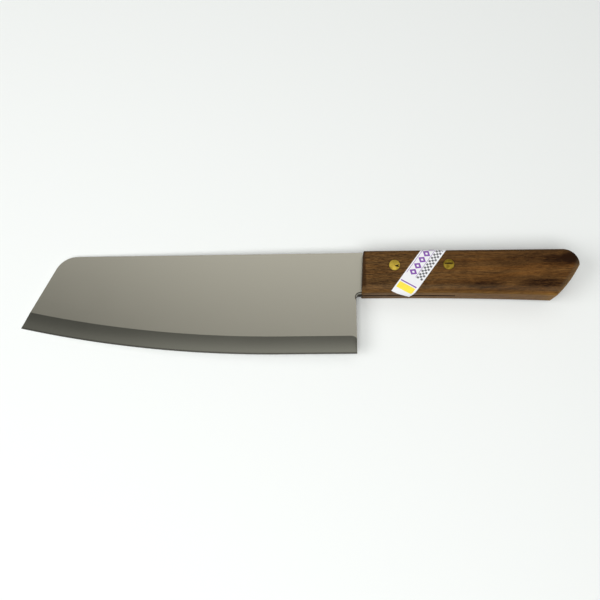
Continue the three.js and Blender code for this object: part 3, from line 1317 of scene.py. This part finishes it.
    def fall(self, bm: BMesh, rim: BMVert, roll: Vector) -> Ring:
        """Add the points down a quarter round from the flat's rim and out along the lip below it.

        Args:
            bm: The mesh.
            rim: The rim's point on the flat.
            roll: The way from the wall to the flat.

        Returns:
            The points, from the first below the rim to the one on the wall.
        """
        radius = min(roll.length, self.roll_radius)
        out = roll.normalized().to_3d() * -1.0
        points = []
        for step in range(1, self.roll_steps + 1):
            angle = QUARTER * step / self.roll_steps
            down = Vector((0.0, 0.0, radius * (math.cos(angle) - 1)))
            points.append(bm.verts.new(rim.co + out * (radius * math.sin(angle)) + down))
        points.append(bm.verts.new(points[-1].co + out * (roll.length - radius)))
        return points

    def upper_outline(self) -> list[Vector]:
        """Draw the flat above the band, from the heel round to the nose, without the band's line.

        Returns:
            The outline's points.
        """
        nose_top = (self.tip.x - self.tip.y / math.tan(self.nose_angle), 0.0)
        centre = self.notch_centre
        corner = Vector((self.heel, centre.y + self.notch_radius))
        shape = Outline((corner.x, centre.y - self.notch_lead))
        shape.round(corner, (0.0, corner.y), self.notch_radius, self.notch_steps)
        shape.line((self.shoulder / 2, corner.y))
        shape.line(*((self.shoulder, y) for y in (*self.tang_ends, 0.0)))
        shape.round(nose_top, self.tip, self.nose_radius, self.nose_steps)
        return shape.points

    def tang_outline(self) -> list[Vector]:
        """Draw the tang behind the shoulder, between the shoulder's two ends.

        Returns:
            The outline's points.
        """
        bottom, top = self.tang_ends
        shape = Outline((self.shoulder, bottom))
        shape.round((self.tang_length, bottom), (self.tang_length, top), self.tang_corner, self.tang_steps)
        shape.round((self.tang_length, top), (self.shoulder, top), self.tang_corner, self.tang_steps)
        return shape.points[1:]

    def side(self, bm: BMesh, line: Ring, z: float, rolled: bool) -> tuple[Ring, list[Ring], dict]:
        """Close one side of the sheet with its flat and the tang's face.

        Args:
            bm: The mesh.
            line: The band's upper line, from the nose to the heel.
            z: Height of the side.
            rolled: Whether the notch's rim is rolled.

        Returns:
            The border from the heel round to the nose, the rings of the holes, and the points down from
            each rolled place of the border.
        """
        outline = self.upper_outline()
        rolls = [self.roll(p) if rolled else Vector((0.0, 0.0)) for p in outline]
        rim = raised(bm, [p + r for p, r in zip(outline, rolls)], z)
        falls = {v: self.fall(bm, v, r) for v, r in zip(rim, rolls) if r.length > 0}
        back = raised(bm, self.tang_outline(), z)
        radius = self.hole_radius
        bores = [raised(bm, oval(place, radius, radius, self.hole_steps), z) for place in self.rivets]
        bm.faces.new(line + rim)
        low = next(i for i, v in enumerate(rim) if abs(v.co.x - self.shoulder) < NEAR)
        rings = [[rim[low], *back, rim[low + 1]], *bores]
        loose = [v for ring in rings for v in ring]
        for corners in tessellate_polygon([[v.co for v in ring] for ring in rings]):
            bm.faces.new([loose[i] for i in corners])
        return [line[-1], *rim[:low + 1], *back, *rim[low + 1:], line[0]], bores, falls

    def walls(self, bm: BMesh, upper: Ring, lower: Ring, falls: dict) -> None:
        """Join the borders of both sides, down over the rolled places.

        Args:
            bm: The mesh.
            upper: Border of the upper side.
            lower: Border of the lower side.
            falls: Points down from each rolled place.
        """
        for i in range(len(upper) - 1):
            one, two = (falls.get(v, [v] * (self.roll_steps + 1)) for v in upper[i:i + 2])
            bm.faces.new((one[-1], two[-1], lower[i + 1], lower[i]))
            for step, sides in enumerate(zip((upper[i], *one), (upper[i + 1], *two), two, one)):
                corners = list(dict.fromkeys(sides))
                if len(corners) > 2:
                    # The roll's first step, its steep steps and the lip take the painted shade steel; the
                    # steps between keep bright steel.
                    zone = BladeZone.ROLL if 0 < step < self.roll_steps / 2 else BladeZone.PAINTED_SHADE
                    bm.faces.new(corners).material_index = zone

    def break_rims(self, bm: BMesh) -> None:
        """Take the sharpness off the flats' rims in front of the shoulder.

        Args:
            bm: The mesh.
        """
        rims = []
        for edge in bm.edges:
            a, b = (v.co for v in edge.verts)
            on_flat = abs(abs(a.z) - self.thickness / 2) < NEAR and abs(a.z - b.z) < NEAR
            outer = edge.is_manifold and edge.calc_face_angle(0.0) > self.edge_break_over
            if on_flat and outer and min(a.x, b.x) < self.shoulder - NEAR:
                rims.append(edge)
        bmesh.ops.bevel(bm, geom=rims, offset=self.edge_break, segments=2, profile=0.5, affect="EDGES",
                        offset_type="OFFSET", clamp_overlap=True, material=-1)

    def mesh(self, steel: Material) -> Mesh:
        """Close the ground band with the flats, the walls and the tang.

        Args:
            steel: The band's material.

        Returns:
            The blade's mesh.
        """
        rows = len(self.section())
        bm = bmesh.new()
        bm.from_mesh(self.ground_band(steel))
        bm.verts.ensure_lookup_table()
        for face in bm.faces:
            honed = any(v.index % rows == 0 for v in face.verts)
            face.material_index = BladeZone.HONE if honed else BladeZone.BAND
        sections = [bm.verts[i:i + rows] for i in range(0, len(bm.verts), rows)]
        near, far = sections[:self.columns], sections[self.columns:]
        upper, near_bores, falls = self.side(bm, [s[-1] for s in near], self.thickness / 2, True)
        lower, far_bores, _ = self.side(bm, [s[-1] for s in far], -self.thickness / 2, False)
        self.walls(bm, upper, lower, falls)
        for end in (0, -1):
            for corners in zip(near[end], near[end][1:], far[end][1:], far[end]):
                bm.faces.new(corners)
        for one, two in zip(near_bores, far_bores):
            bridge(bm, one, two)
        bmesh.ops.remove_doubles(bm, verts=bm.verts, dist=MERGE)
        bmesh.ops.dissolve_degenerate(bm, edges=bm.edges, dist=SLIVER)
        bmesh.ops.recalc_face_normals(bm, faces=bm.faces)
        self.break_rims(bm)
        # The tang takes the painted shade steel, for the shade inside the saw cut.
        for face in bm.faces:
            if min(v.co.x for v in face.verts) > self.shoulder - NEAR:
                face.material_index = BladeZone.PAINTED_SHADE
        bmesh.ops.recalc_face_normals(bm, faces=bm.faces)
        shade(bm, self.sharp_angle)
        for edge in bm.edges:
            rolled = all(f.material_index in (BladeZone.ROLL, BladeZone.PAINTED_SHADE) for f in edge.link_faces)
            if rolled and max(v.co.x for v in edge.verts) < self.shoulder - NEAR:
                edge.smooth = True
        return from_bmesh(bm, "blade")

    def build(self, lay: Lay) -> None:
        """Make the blade and dress it."""
        steels = [steel.material(lay) for steel in self.steels]
        settle("stamped_blade", self.mesh(steels[BladeZone.BAND]), steels, lay, Slot.STEEL, "blade")


@dataclass
class Handle:
    """One piece of wood, sawn open for the tang and drilled for the rivets."""

    rivets: Sequence[Vector]
    length: float = 121.5
    thickness: float = 18.0
    drop: float = 0.85
    fall: float = 0.5
    front_height: float = 24.5
    front_slant: float = 1.3
    front_ease: float = 1.1
    front_corner: float = 4.2
    front_corner_steps: int = 10
    front_round: float = 2.0
    front_overrun: float = 6.0
    plane_clearance: float = 0.05
    grip_flare: float = 2.6
    grip_steps: int = 40
    butt_round: float = 9.2
    butt_round_steps: int = 24
    butt_slant: float = 13.7
    butt_bulge: float = 64.0
    butt_bulge_steps: int = 20
    edge_round: float = 2.0
    low_round: float = 3.3
    low_round_from: Span = (-8.0, -13.0)
    round_steps: int = 8
    kerf_start: float = -9.0
    kerf_length: float = 52.5
    kerf_width: float = 1.9
    seat_radius: float = 3.18
    seat_depth: float = 1.5
    bore_radius: float = 2.2
    bore_steps: int = 48
    sharp_angle: float = math.radians(30.0)
    wood: WoodFinish = WoodFinish()

    @property
    def half(self) -> float:
        """Half of the thickness."""
        return self.thickness / 2

    @property
    def front_top(self) -> Vector:
        """Upper end of the sawn front."""
        return Vector((self.front_slant / 2, -self.drop))

    @property
    def front_bottom(self) -> Vector:
        """Lower end of the sawn front."""
        return Vector((-self.front_slant / 2, -self.drop - self.front_height))

    @property
    def round_centre(self) -> Vector:
        """Middle of the round from the upper side into the butt."""
        return Vector((self.length - self.butt_round, -self.drop - self.fall - self.butt_round))

    @property
    def foot(self) -> Vector:
        """Lower corner of the butt."""
        return Vector((self.length - self.butt_slant, self.front_bottom.y - self.grip_flare))

    def upper_side(self, x: float) -> float:
        """Height of the upper side at a place along the handle."""
        share = (x - self.front_top.x) / (self.round_centre.x - self.front_top.x)
        return self.front_top.y - self.fall * share

    def upper_round(self, y: float) -> float:
        """Radius of the upper face's edge, which is worn rounder along the underside and the butt.

        Args:
            y: A height on the outline.

        Returns:
            The radius.
        """
        start, end = self.low_round_from
        share = min(1.0, max(0.0, (y - start) / (end - start)))
        return self.edge_round + (self.low_round - self.edge_round) * share

    def outline(self) -> Outline:
        """Draw the blank's side view, anticlockwise, with wood left over at the front.

        Returns:
            The outline.
        """
        point = self.round_centre + Vector((self.butt_round, 0.0))
        blank = self.front_top.x - self.front_overrun
        blank_top, blank_bottom = (blank, self.upper_side(blank)), (blank, self.front_bottom.y)
        grip = ((self.front_bottom.x + self.foot.x) / 2, self.front_bottom.y)
        shape = Outline(self.round_centre + Vector((0.0, self.butt_round)))
        shape.round(blank_top, blank_bottom, self.front_corner, self.front_corner_steps)
        shape.round(blank_bottom, grip, self.front_corner, self.front_corner_steps)
        shape.line(self.front_bottom)
        shape.curve(grip, self.foot, self.grip_steps)
        chord = point - self.foot
        reach = math.sqrt(self.butt_bulge ** 2 - chord.length_squared / 4)
        centre = (self.foot + point) / 2 + Vector((-chord.y, chord.x)).normalized() * reach
        start, end = (math.atan2(p.y - centre.y, p.x - centre.x) for p in (self.foot, point))
        shape.arc(centre, self.butt_bulge, start, end, self.butt_bulge_steps)
        shape.arc(self.round_centre, self.butt_round, 0.0, QUARTER, self.butt_round_steps)
        shape.points.pop()
        return shape

    def front_waste(self) -> Mesh:
        """Make what is planed off the front: a block round the form that stays, with its rounded edges.

        Returns:
            The closed mesh to cut away.
        """
        half = self.half + self.plane_clearance
        reach = 2 * self.front_overrun
        form = Outline((reach, -half))
        form.line((reach, half))
        form.round((0.0, half), (0.0, -half), self.front_round, self.round_steps)
        form.round((0.0, -half), (reach, -half), self.front_round, self.round_steps)
        height = self.front_height / 2 + self.plane_clearance
        ease = [self.front_ease] * len(form.points)
        kept = rounded_prism(form, height, ease, ease, self.round_steps, "kept_front")
        lean = Matrix.Identity(4)
        lean[0][1] = self.front_slant / self.front_height
        kept.transform(lean @ Matrix.Rotation(QUARTER, 4, "X"))
        block = slab(-reach, self.front_overrun, self.front_height, self.thickness, "front_block")
        waste = cut(block, kept)
        waste.transform(Matrix.Translation((0.0, -self.drop - self.front_height / 2, 0.0)))
        return waste

    def mesh(self) -> Mesh:
        """Plane, saw and drill the block.

        Returns:
            The handle's mesh.
        """
        reach = 2 * self.front_height
        kerf = slab(self.kerf_start, self.kerf_length, reach, self.kerf_width / 2, "kerf")
        cutters = [self.front_waste(), kerf]
        floor = self.half - self.seat_depth
        ends = (-reach, reach), (floor, reach), (-reach, -floor)
        drills = list(zip((self.bore_radius, self.seat_radius, self.seat_radius), ends))
        for place in self.rivets:
            for radius, (low, high) in drills:
                cutters.append(prism(oval(place, radius, radius, self.bore_steps), low, high, "drill"))
        shape = self.outline()
        lower = [self.edge_round] * len(shape.points)
        upper = [self.upper_round(p.y) for p in shape.points]
        block = rounded_prism(shape, self.half, lower, upper, self.round_steps, "handle")
        return cleaned(cut(block, *cutters), "handle", self.sharp_angle)

    def build(self, lay: Lay) -> None:
        """Make the handle and dress it."""
        settle("sawn_handle", self.mesh(), [self.wood.material(lay)], lay, Slot.WOOD, "handle")


@dataclass
class Rivets:
    """Two brass rivets, each a headed pin in a headed tube."""

    spacing: float = 30.4
    first: Vector = field(default_factory=lambda: Vector((18.0, -9.75)))
    half: float = 9.0
    head_radius: float = 3.08
    head_thickness: float = 1.4
    tube_radius: float = 2.1
    pin_radius: float = 1.5
    body_clearance: float = 0.06
    end_clearance: float = 0.6
    rim: float = 0.22
    rim_width: float = 0.48
    rim_steps: int = 4
    dish: float = 0.07
    slit_length: float = 5.0
    slit_width: float = 0.9
    slit_shift: float = 0.6
    slit_steps: int = 24
    nick: Sequence[Span] = (
        (0.0, -0.35), (1.3, -1.05), (2.6, -1.1), (2.75, -0.5), (1.7, -0.4), (2.75, 0.0), (2.5, 0.35),
        (1.2, 0.1),
    )
    mark_depth: float = 0.6
    mark_overrun: float = 1.0
    segments: int = 64
    sharp_angle: float = math.radians(35.0)
    brass: BrassFinish = BrassFinish()

    def places(self) -> list[Vector]:
        """Middles of the rivets in the side view."""
        return [self.first, self.first + Vector((self.spacing, 0.0))]

    def head(self, outside: float) -> list[Span]:
        """Profile of a head from its edge to its middle.

        Args:
            outside: Height of the head's face.

        Returns:
            Radius and height pairs, with a rounded rim round a slightly dished face.
        """
        side = math.copysign(1.0, outside)
        points = []
        for step in range(self.rim_steps + 1):
            angle = QUARTER * step / self.rim_steps
            radius = self.head_radius - self.rim * (1 - math.cos(angle))
            points.append((radius, outside - side * self.rim * (1 - math.sin(angle))))
        floor = outside - side * self.dish
        return points + [(self.head_radius - self.rim_width, floor), (0.0, floor)]

    def turned_row(self, profile: Sequence[Span], name: str, brass: Material) -> Mesh:
        """Turn a profile about an axis and repeat it along the rivet row.

        Args:
            profile: Radius and height pairs.
            name: Name of the mesh.
            brass: The rivets' material.

        Returns:
            The plain mesh of both copies.
        """
        tool = NodeTool(name)
        graph = tool.graph
        segments, gap, first_x, first_y = tool.sizes(self, "segments", "spacing", "first.x", "first.y")
        grid, column, (radius, height, _) = tool.grid(self.segments + 1, len(profile))
        angle = column / segments * (2 * math.pi)
        shell = tool.moved(grid, radius * angle.cos(), radius * angle.sin(), height)
        shell = graph.add("GeometryNodeMergeByDistance", {"Geometry": shell, "Distance": MERGE}).outputs[0]
        line = graph.add("GeometryNodeMeshLine", {
            "Count": tool.count("Rivets", len(self.places())),
            "Start Location": graph.join(first_x, first_y, 0.0),
            "Offset": graph.join(gap, 0.0, 0.0),
        }).outputs[0]
        row = graph.add("GeometryNodeInstanceOnPoints", {"Points": line, "Instance": shell}).outputs[0]
        bm = bmesh.new()
        bm.from_mesh(tool.run(row, polyline(profile, name), brass))
        bmesh.ops.dissolve_degenerate(bm, edges=bm.edges, dist=SLIVER)
        bmesh.ops.recalc_face_normals(bm, faces=bm.faces)
        return from_bmesh(bm, name)

    def pins(self, brass: Material) -> Mesh:
        """The solid halves, with the slit and the nick in their upper heads.

        Args:
            brass: The rivets' material.

        Returns:
            The mesh of both halves.
        """
        head = self.half - self.head_thickness
        end = self.end_clearance - head
        profile = [(0.0, end), (self.pin_radius, end), (self.pin_radius, head), (self.head_radius, head)]
        mesh = self.turned_row(profile + self.head(self.half), "rivet_pins", brass)
        front, rear = self.places()
        middle = rear + Vector((0.0, self.slit_shift))
        slit = oval(middle, self.slit_length / 2, self.slit_width / 2, self.slit_steps)
        nick = [front + Vector(p) for p in self.nick]
        low, high = self.half - self.dish - self.mark_depth, self.half + self.mark_overrun
        return cut(mesh, prism(slit, low, high, "slit"), prism(nick, low, high, "nick"))

    def tubes(self, brass: Material) -> Mesh:
        """The hollow halves, with their heads below.

        Args:
            brass: The rivets' material.

        Returns:
            The mesh of both halves.
        """
        inside = self.head_thickness - self.half
        top = -inside - self.end_clearance
        bore = self.pin_radius + self.body_clearance
        profile = self.head(-self.half)[::-1]
        profile += [(self.head_radius, inside), (self.tube_radius, inside), (self.tube_radius, top)]
        profile += [(bore, top), (bore, inside), (0.0, inside)]
        return self.turned_row(profile, "rivet_tubes", brass)

    def build(self, lay: Lay) -> None:
        """Make the rivets and dress them.

        Args:
            lay: Placement of the knife.
        """
        brass = self.brass.material(lay)
        halves = ("pin", self.pins(brass)), ("tube", self.tubes(brass))
        for half, mesh in halves:
            name = f"rivet_{half}s"
            nodes = f"front_rivet_{half}", f"rear_rivet_{half}"
            settle(name, cleaned(mesh, name, self.sharp_angle), [brass], lay, Slot.BRASS, *nodes)


@dataclass
class Label:
    """A paper strip wrapped round the handle at a slant."""

    handle: Handle
    length: float = 38.0
    width: float = 11.5
    thickness: float = 0.12
    angle: float = math.radians(53.35)
    place: float = 31.38
    grip: float = 13.2
    shift: float = 0.6
    gap: float = 0.12
    peel: float = math.radians(75.0)
    curl: float = 4.2
    end_slant: float = 0.15
    steps: tuple[int, int] = (152, 46)
    sharp_angle: float = math.radians(50.0)
    paper: PaperFinish = PaperFinish()

    def mesh(self, material: Material) -> Mesh:
        """Lay a thin strip on the handle's face and round its edges.

        Args:
            material: The strip's material.

        Returns:
            The strip's mesh, with the places on the flat strip as an attribute.
        """
        tool = NodeTool("wrapped_label")
        graph = tool.graph
        length, width, thick, angle, middle, grip = tool.sizes(
            self, "length", "width", "thickness", "angle", "place", "grip"
        )
        shift, gap, peel, curl, slant = tool.sizes(self, "shift", "gap", "peel", "curl", "end_slant")
        handle = self.handle
        half, fall, flare = tool.sizes(handle, "half", "fall", "grip_flare")
        round_top, round_low = tool.sizes(handle, "edge_round", "low_round")
        top_start, top, top_end = tool.sizes(handle, "front_top.x", "front_top.y", "round_centre.x")
        bottom_start, bottom, bottom_end = tool.sizes(handle, "front_bottom.x", "front_bottom.y", "foot.x")
        strip = graph.add("GeometryNodeMeshCube", {
            "Size": graph.join(length, width, thick),
            "Vertices X": tool.count("Steps Along", self.steps[0]),
            "Vertices Y": tool.count("Steps Across", self.steps[1]),
            "Vertices Z": 2,
        }).outputs["Mesh"]
        flat = graph.add("GeometryNodeInputPosition").outputs[0]
        stored = graph.add("GeometryNodeStoreNamedAttribute", {
            "Geometry": strip,
            "Name": self.paper.attribute,
            "Value": flat,
        }, data_type="FLOAT_VECTOR", domain="POINT")
        a, b, h = graph.split(flat)
        along = a + shift + (width / 2.0 - b) * slant * (0.5 - a / length)
        x = middle + along * angle.cos() - b * angle.sin()
        y = along * angle.sin() + b * angle.cos() - grip
        upper = top - fall * (x - top_start) / (top_end - top_start) - round_top
        share = (x - bottom_start) / (bottom_end - bottom_start)
        lower = bottom - flare * share * share + round_low
        above = y.above((upper + lower) / 2.0)
        bend = above.choose(round_top, curl)
        beyond = (y - upper).high(0.0) + (lower - y).high(0.0)
        turn = (beyond / bend).low(above.choose(QUARTER, peel))
        past = beyond - turn * bend
        lift = h + gap + thick / 2.0 + bend
        out = turn.sin() * lift + turn.cos() * past
        rise = turn.cos() * lift - turn.sin() * past
        up = y.clamp(lower, upper) + out * above.choose(1.0, -1.0)
        moved = tool.moved(stored.outputs[0], x, up, half - bend + rise)
        return tool.run(moved, bpy.data.meshes.new("label"), material)

    def build(self, lay: Lay) -> None:
        """Make the label and dress it.

        Args:
            lay: Placement of the knife.
        """
        paper = self.paper.material(lay)
        mesh = cleaned(self.mesh(paper), "label", self.sharp_angle)
        settle("wrapped_label", mesh, [paper], lay, Slot.PAPER, "label")


@dataclass(frozen=True)
class Softbox:
    """A square soft light that points at the knife, in metres and watts."""

    name: str
    place: Triple
    size: float
    power: float

    def build(self) -> None:
        """Hang the light, which the steel doesn't mirror."""
        light = bpy.data.lights.new(self.name, "AREA")
        light.shape = "SQUARE"
        light.size = self.size
        light.energy = self.power
        lamp = add_object(self.name, light)
        lamp.location = self.place
        lamp.rotation_euler = (-Vector(self.place)).to_track_quat("-Z", "Y").to_euler()
        lamp.visible_glossy = False


@dataclass(frozen=True)
class Glow:
    """Brightness of a stretch of the surround, which changes evenly along X and Y between limits."""

    base: float
    x: float
    y: float
    limits: Span = (-10.0, 10.0)

    def light(self, x: Term, y: Term) -> Term:
        """Brightness in a direction."""
        return (y * self.y + x * self.x + self.base).clamp(*self.limits)


@dataclass
class Studio:
    """Pale floor, soft light and the camera."""

    floor_radius: float = 1.5
    floor_sides: int = 96
    floor_gap: float = 0.00005
    floor_finish: PlainFinish = PlainFinish("pale_floor", (0.86, 0.885, 0.875), 0.75, 0.2)
    lights: tuple[Softbox, ...] = (
        Softbox("top", (-0.05, -0.4, 1.15), 0.8, 10.3),
        Softbox("key", (-1.3, -0.35, 1.3), 1.0, 15.4),
    )
    sky_colour: Triple = (1.0, 0.985, 0.94)
    backdrop: float = 0.8
    overhead_from: Span = (0.65, 0.8)
    overhead: Glow = Glow(0.11, 0.19, 1.6, (0.025, 0.62))
    overhead_sides: Glow = Glow(1.63, 1.5, 0.0, (0.3, 1.36))
    wall: float = 0.8
    wall_heights: Span = (0.05, 0.3)
    wall_fall: float = 0.6
    wall_turn: Span = (-0.3, 0.3)
    right_shade: float = 0.7
    far_shade: float = 0.2
    mirror_left: Span = (0.26, 0.42)
    mirror_far: Glow = Glow(0.0215, 0.06, 1.85)
    mirror_far_left: Glow = Glow(-0.3825, 0.0, 1.45)
    mirror_near: Glow = Glow(0.131, 0.0375, 2.0)
    mirror_near_left: float = -0.08
    mirror_near_most: Glow = Glow(0.315, 0.26, 0.0)
    mirror_limits: Span = (0.12, 0.62)
    mirror_sides: Glow = Glow(1.67, 1.7, 0.0, (0.3, 1.36))
    mirror_front: Span = (0.5, 0.8)
    mirror_front_light: float = 0.6
    mirror_wall_fall: float = 0.35
    camera_place: Triple = (0.001707, -0.084742, 0.411397)
    camera_tilt: float = math.radians(12.119)
    camera_heading: float = math.radians(-0.192)
    camera_near: float = 0.01
    lens: float = 43.2
    sensor: float = 36.0

    def floor(self, lay: Lay) -> None:
        """Lay the floor.

        Args:
            lay: Placement of the knife.
        """
        rim = oval((0.0, 0.0), self.floor_radius, self.floor_radius, self.floor_sides)
        mesh = bpy.data.meshes.new("floor")
        mesh.from_pydata([(p.x, p.y, -self.floor_gap) for p in rim], [], [range(len(rim))])
        mesh.materials.append(self.floor_finish.material(lay))
        floor = add_object("floor", mesh)

    def lit(self, way: Sequence[Term]) -> Term:
        """How bright the surround is as a light.

        Args:
            way: A direction in the frame.

        Returns:
            The brightness.
        """
        x, y, z = way
        overhead = self.overhead.light(x, y) * self.overhead_sides.light(x, y)
        right = 1.0 - x.ramp(*self.wall_turn) * self.right_shade
        far = 1.0 - y.ramp(*self.wall_turn) * self.far_shade
        walls = (self.wall - z.ramp(*self.wall_heights) * self.wall_fall) * (right * far)
        return z.ramp(*self.overhead_from).choose(overhead, walls)

    def mirrored(self, way: Sequence[Term]) -> Term:
        """How bright the surround is in a mirror.

        Args:
            way: A direction in the frame.

        Returns:
            The brightness.
        """
        x, y, z = way
        left = (x * -1.0).ramp(*self.mirror_left)
        near = self.mirror_near.light(x, y) + left * self.mirror_near_left
        far = self.mirror_far.light(x, y) + left * self.mirror_far_left.light(x, y)
        ceiling = far.high(near.low(self.mirror_near_most.light(x, y))).clamp(*self.mirror_limits)
        front = (y * -1.0).ramp(*self.mirror_front) * self.mirror_front_light
        ceiling = ceiling * self.mirror_sides.light(x, y) + front
        walls = self.wall - z.ramp(*self.wall_heights) * self.mirror_wall_fall
        return z.ramp(*self.overhead_from).choose(ceiling, walls)

    def sky(self) -> None:
        """Set the soft surround: what lights the knife, and what its steel mirrors."""
        world = bpy.data.worlds.new("studio")
        bpy.context.scene.world = world
        world.use_nodes = True
        graph = ShaderGraph(world.node_tree)
        back = next(n for n in world.node_tree.nodes if n.type == "BACKGROUND")
        way = graph.split(graph.add("ShaderNodeTexCoord").outputs["Generated"])
        path = graph.add("ShaderNodeLightPath").outputs
        strength = graph.term(path["Is Glossy Ray"]).choose(self.mirrored(way), self.lit(way))
        strength = graph.term(path["Is Camera Ray"]).choose(self.backdrop, strength)
        graph.feed(back, {"Color": self.sky_colour, "Strength": strength})

    def camera(self) -> None:
        """Set the camera at the photograph's view."""
        data = bpy.data.cameras.new("camera")
        data.lens = self.lens
        data.sensor_width = self.sensor
        data.sensor_fit = "HORIZONTAL"
        data.clip_start = self.camera_near
        camera = add_object("camera", data)
        camera.location = self.camera_place
        camera.rotation_euler = Euler((self.camera_tilt, 0.0, self.camera_heading))
        bpy.context.scene.camera = camera

    def build(self, lay: Lay) -> None:
        """Set up floor, light, colours and camera.

        Args:
            lay: Placement of the knife.
        """
        self.floor(lay)
        self.sky()
        for light in self.lights:
            light.build()
        view = bpy.context.scene.view_settings
        view.view_transform = "Standard"
        view.look = "None"
        self.camera()


def main() -> None:
    """Build the knife's pieces in order and set them in the studio."""
    logging.basicConfig(level=logging.INFO, format="%(name)s: %(message)s")
    rivets = Rivets()
    blade = Blade(rivets.places())
    handle = Handle(rivets.places())
    lay = Lay.from_frame(blade, handle)
    for assembly in (blade, handle, rivets, Label(handle), Studio()):
        assembly.build(lay)


if __name__ == "__main__":
    main()
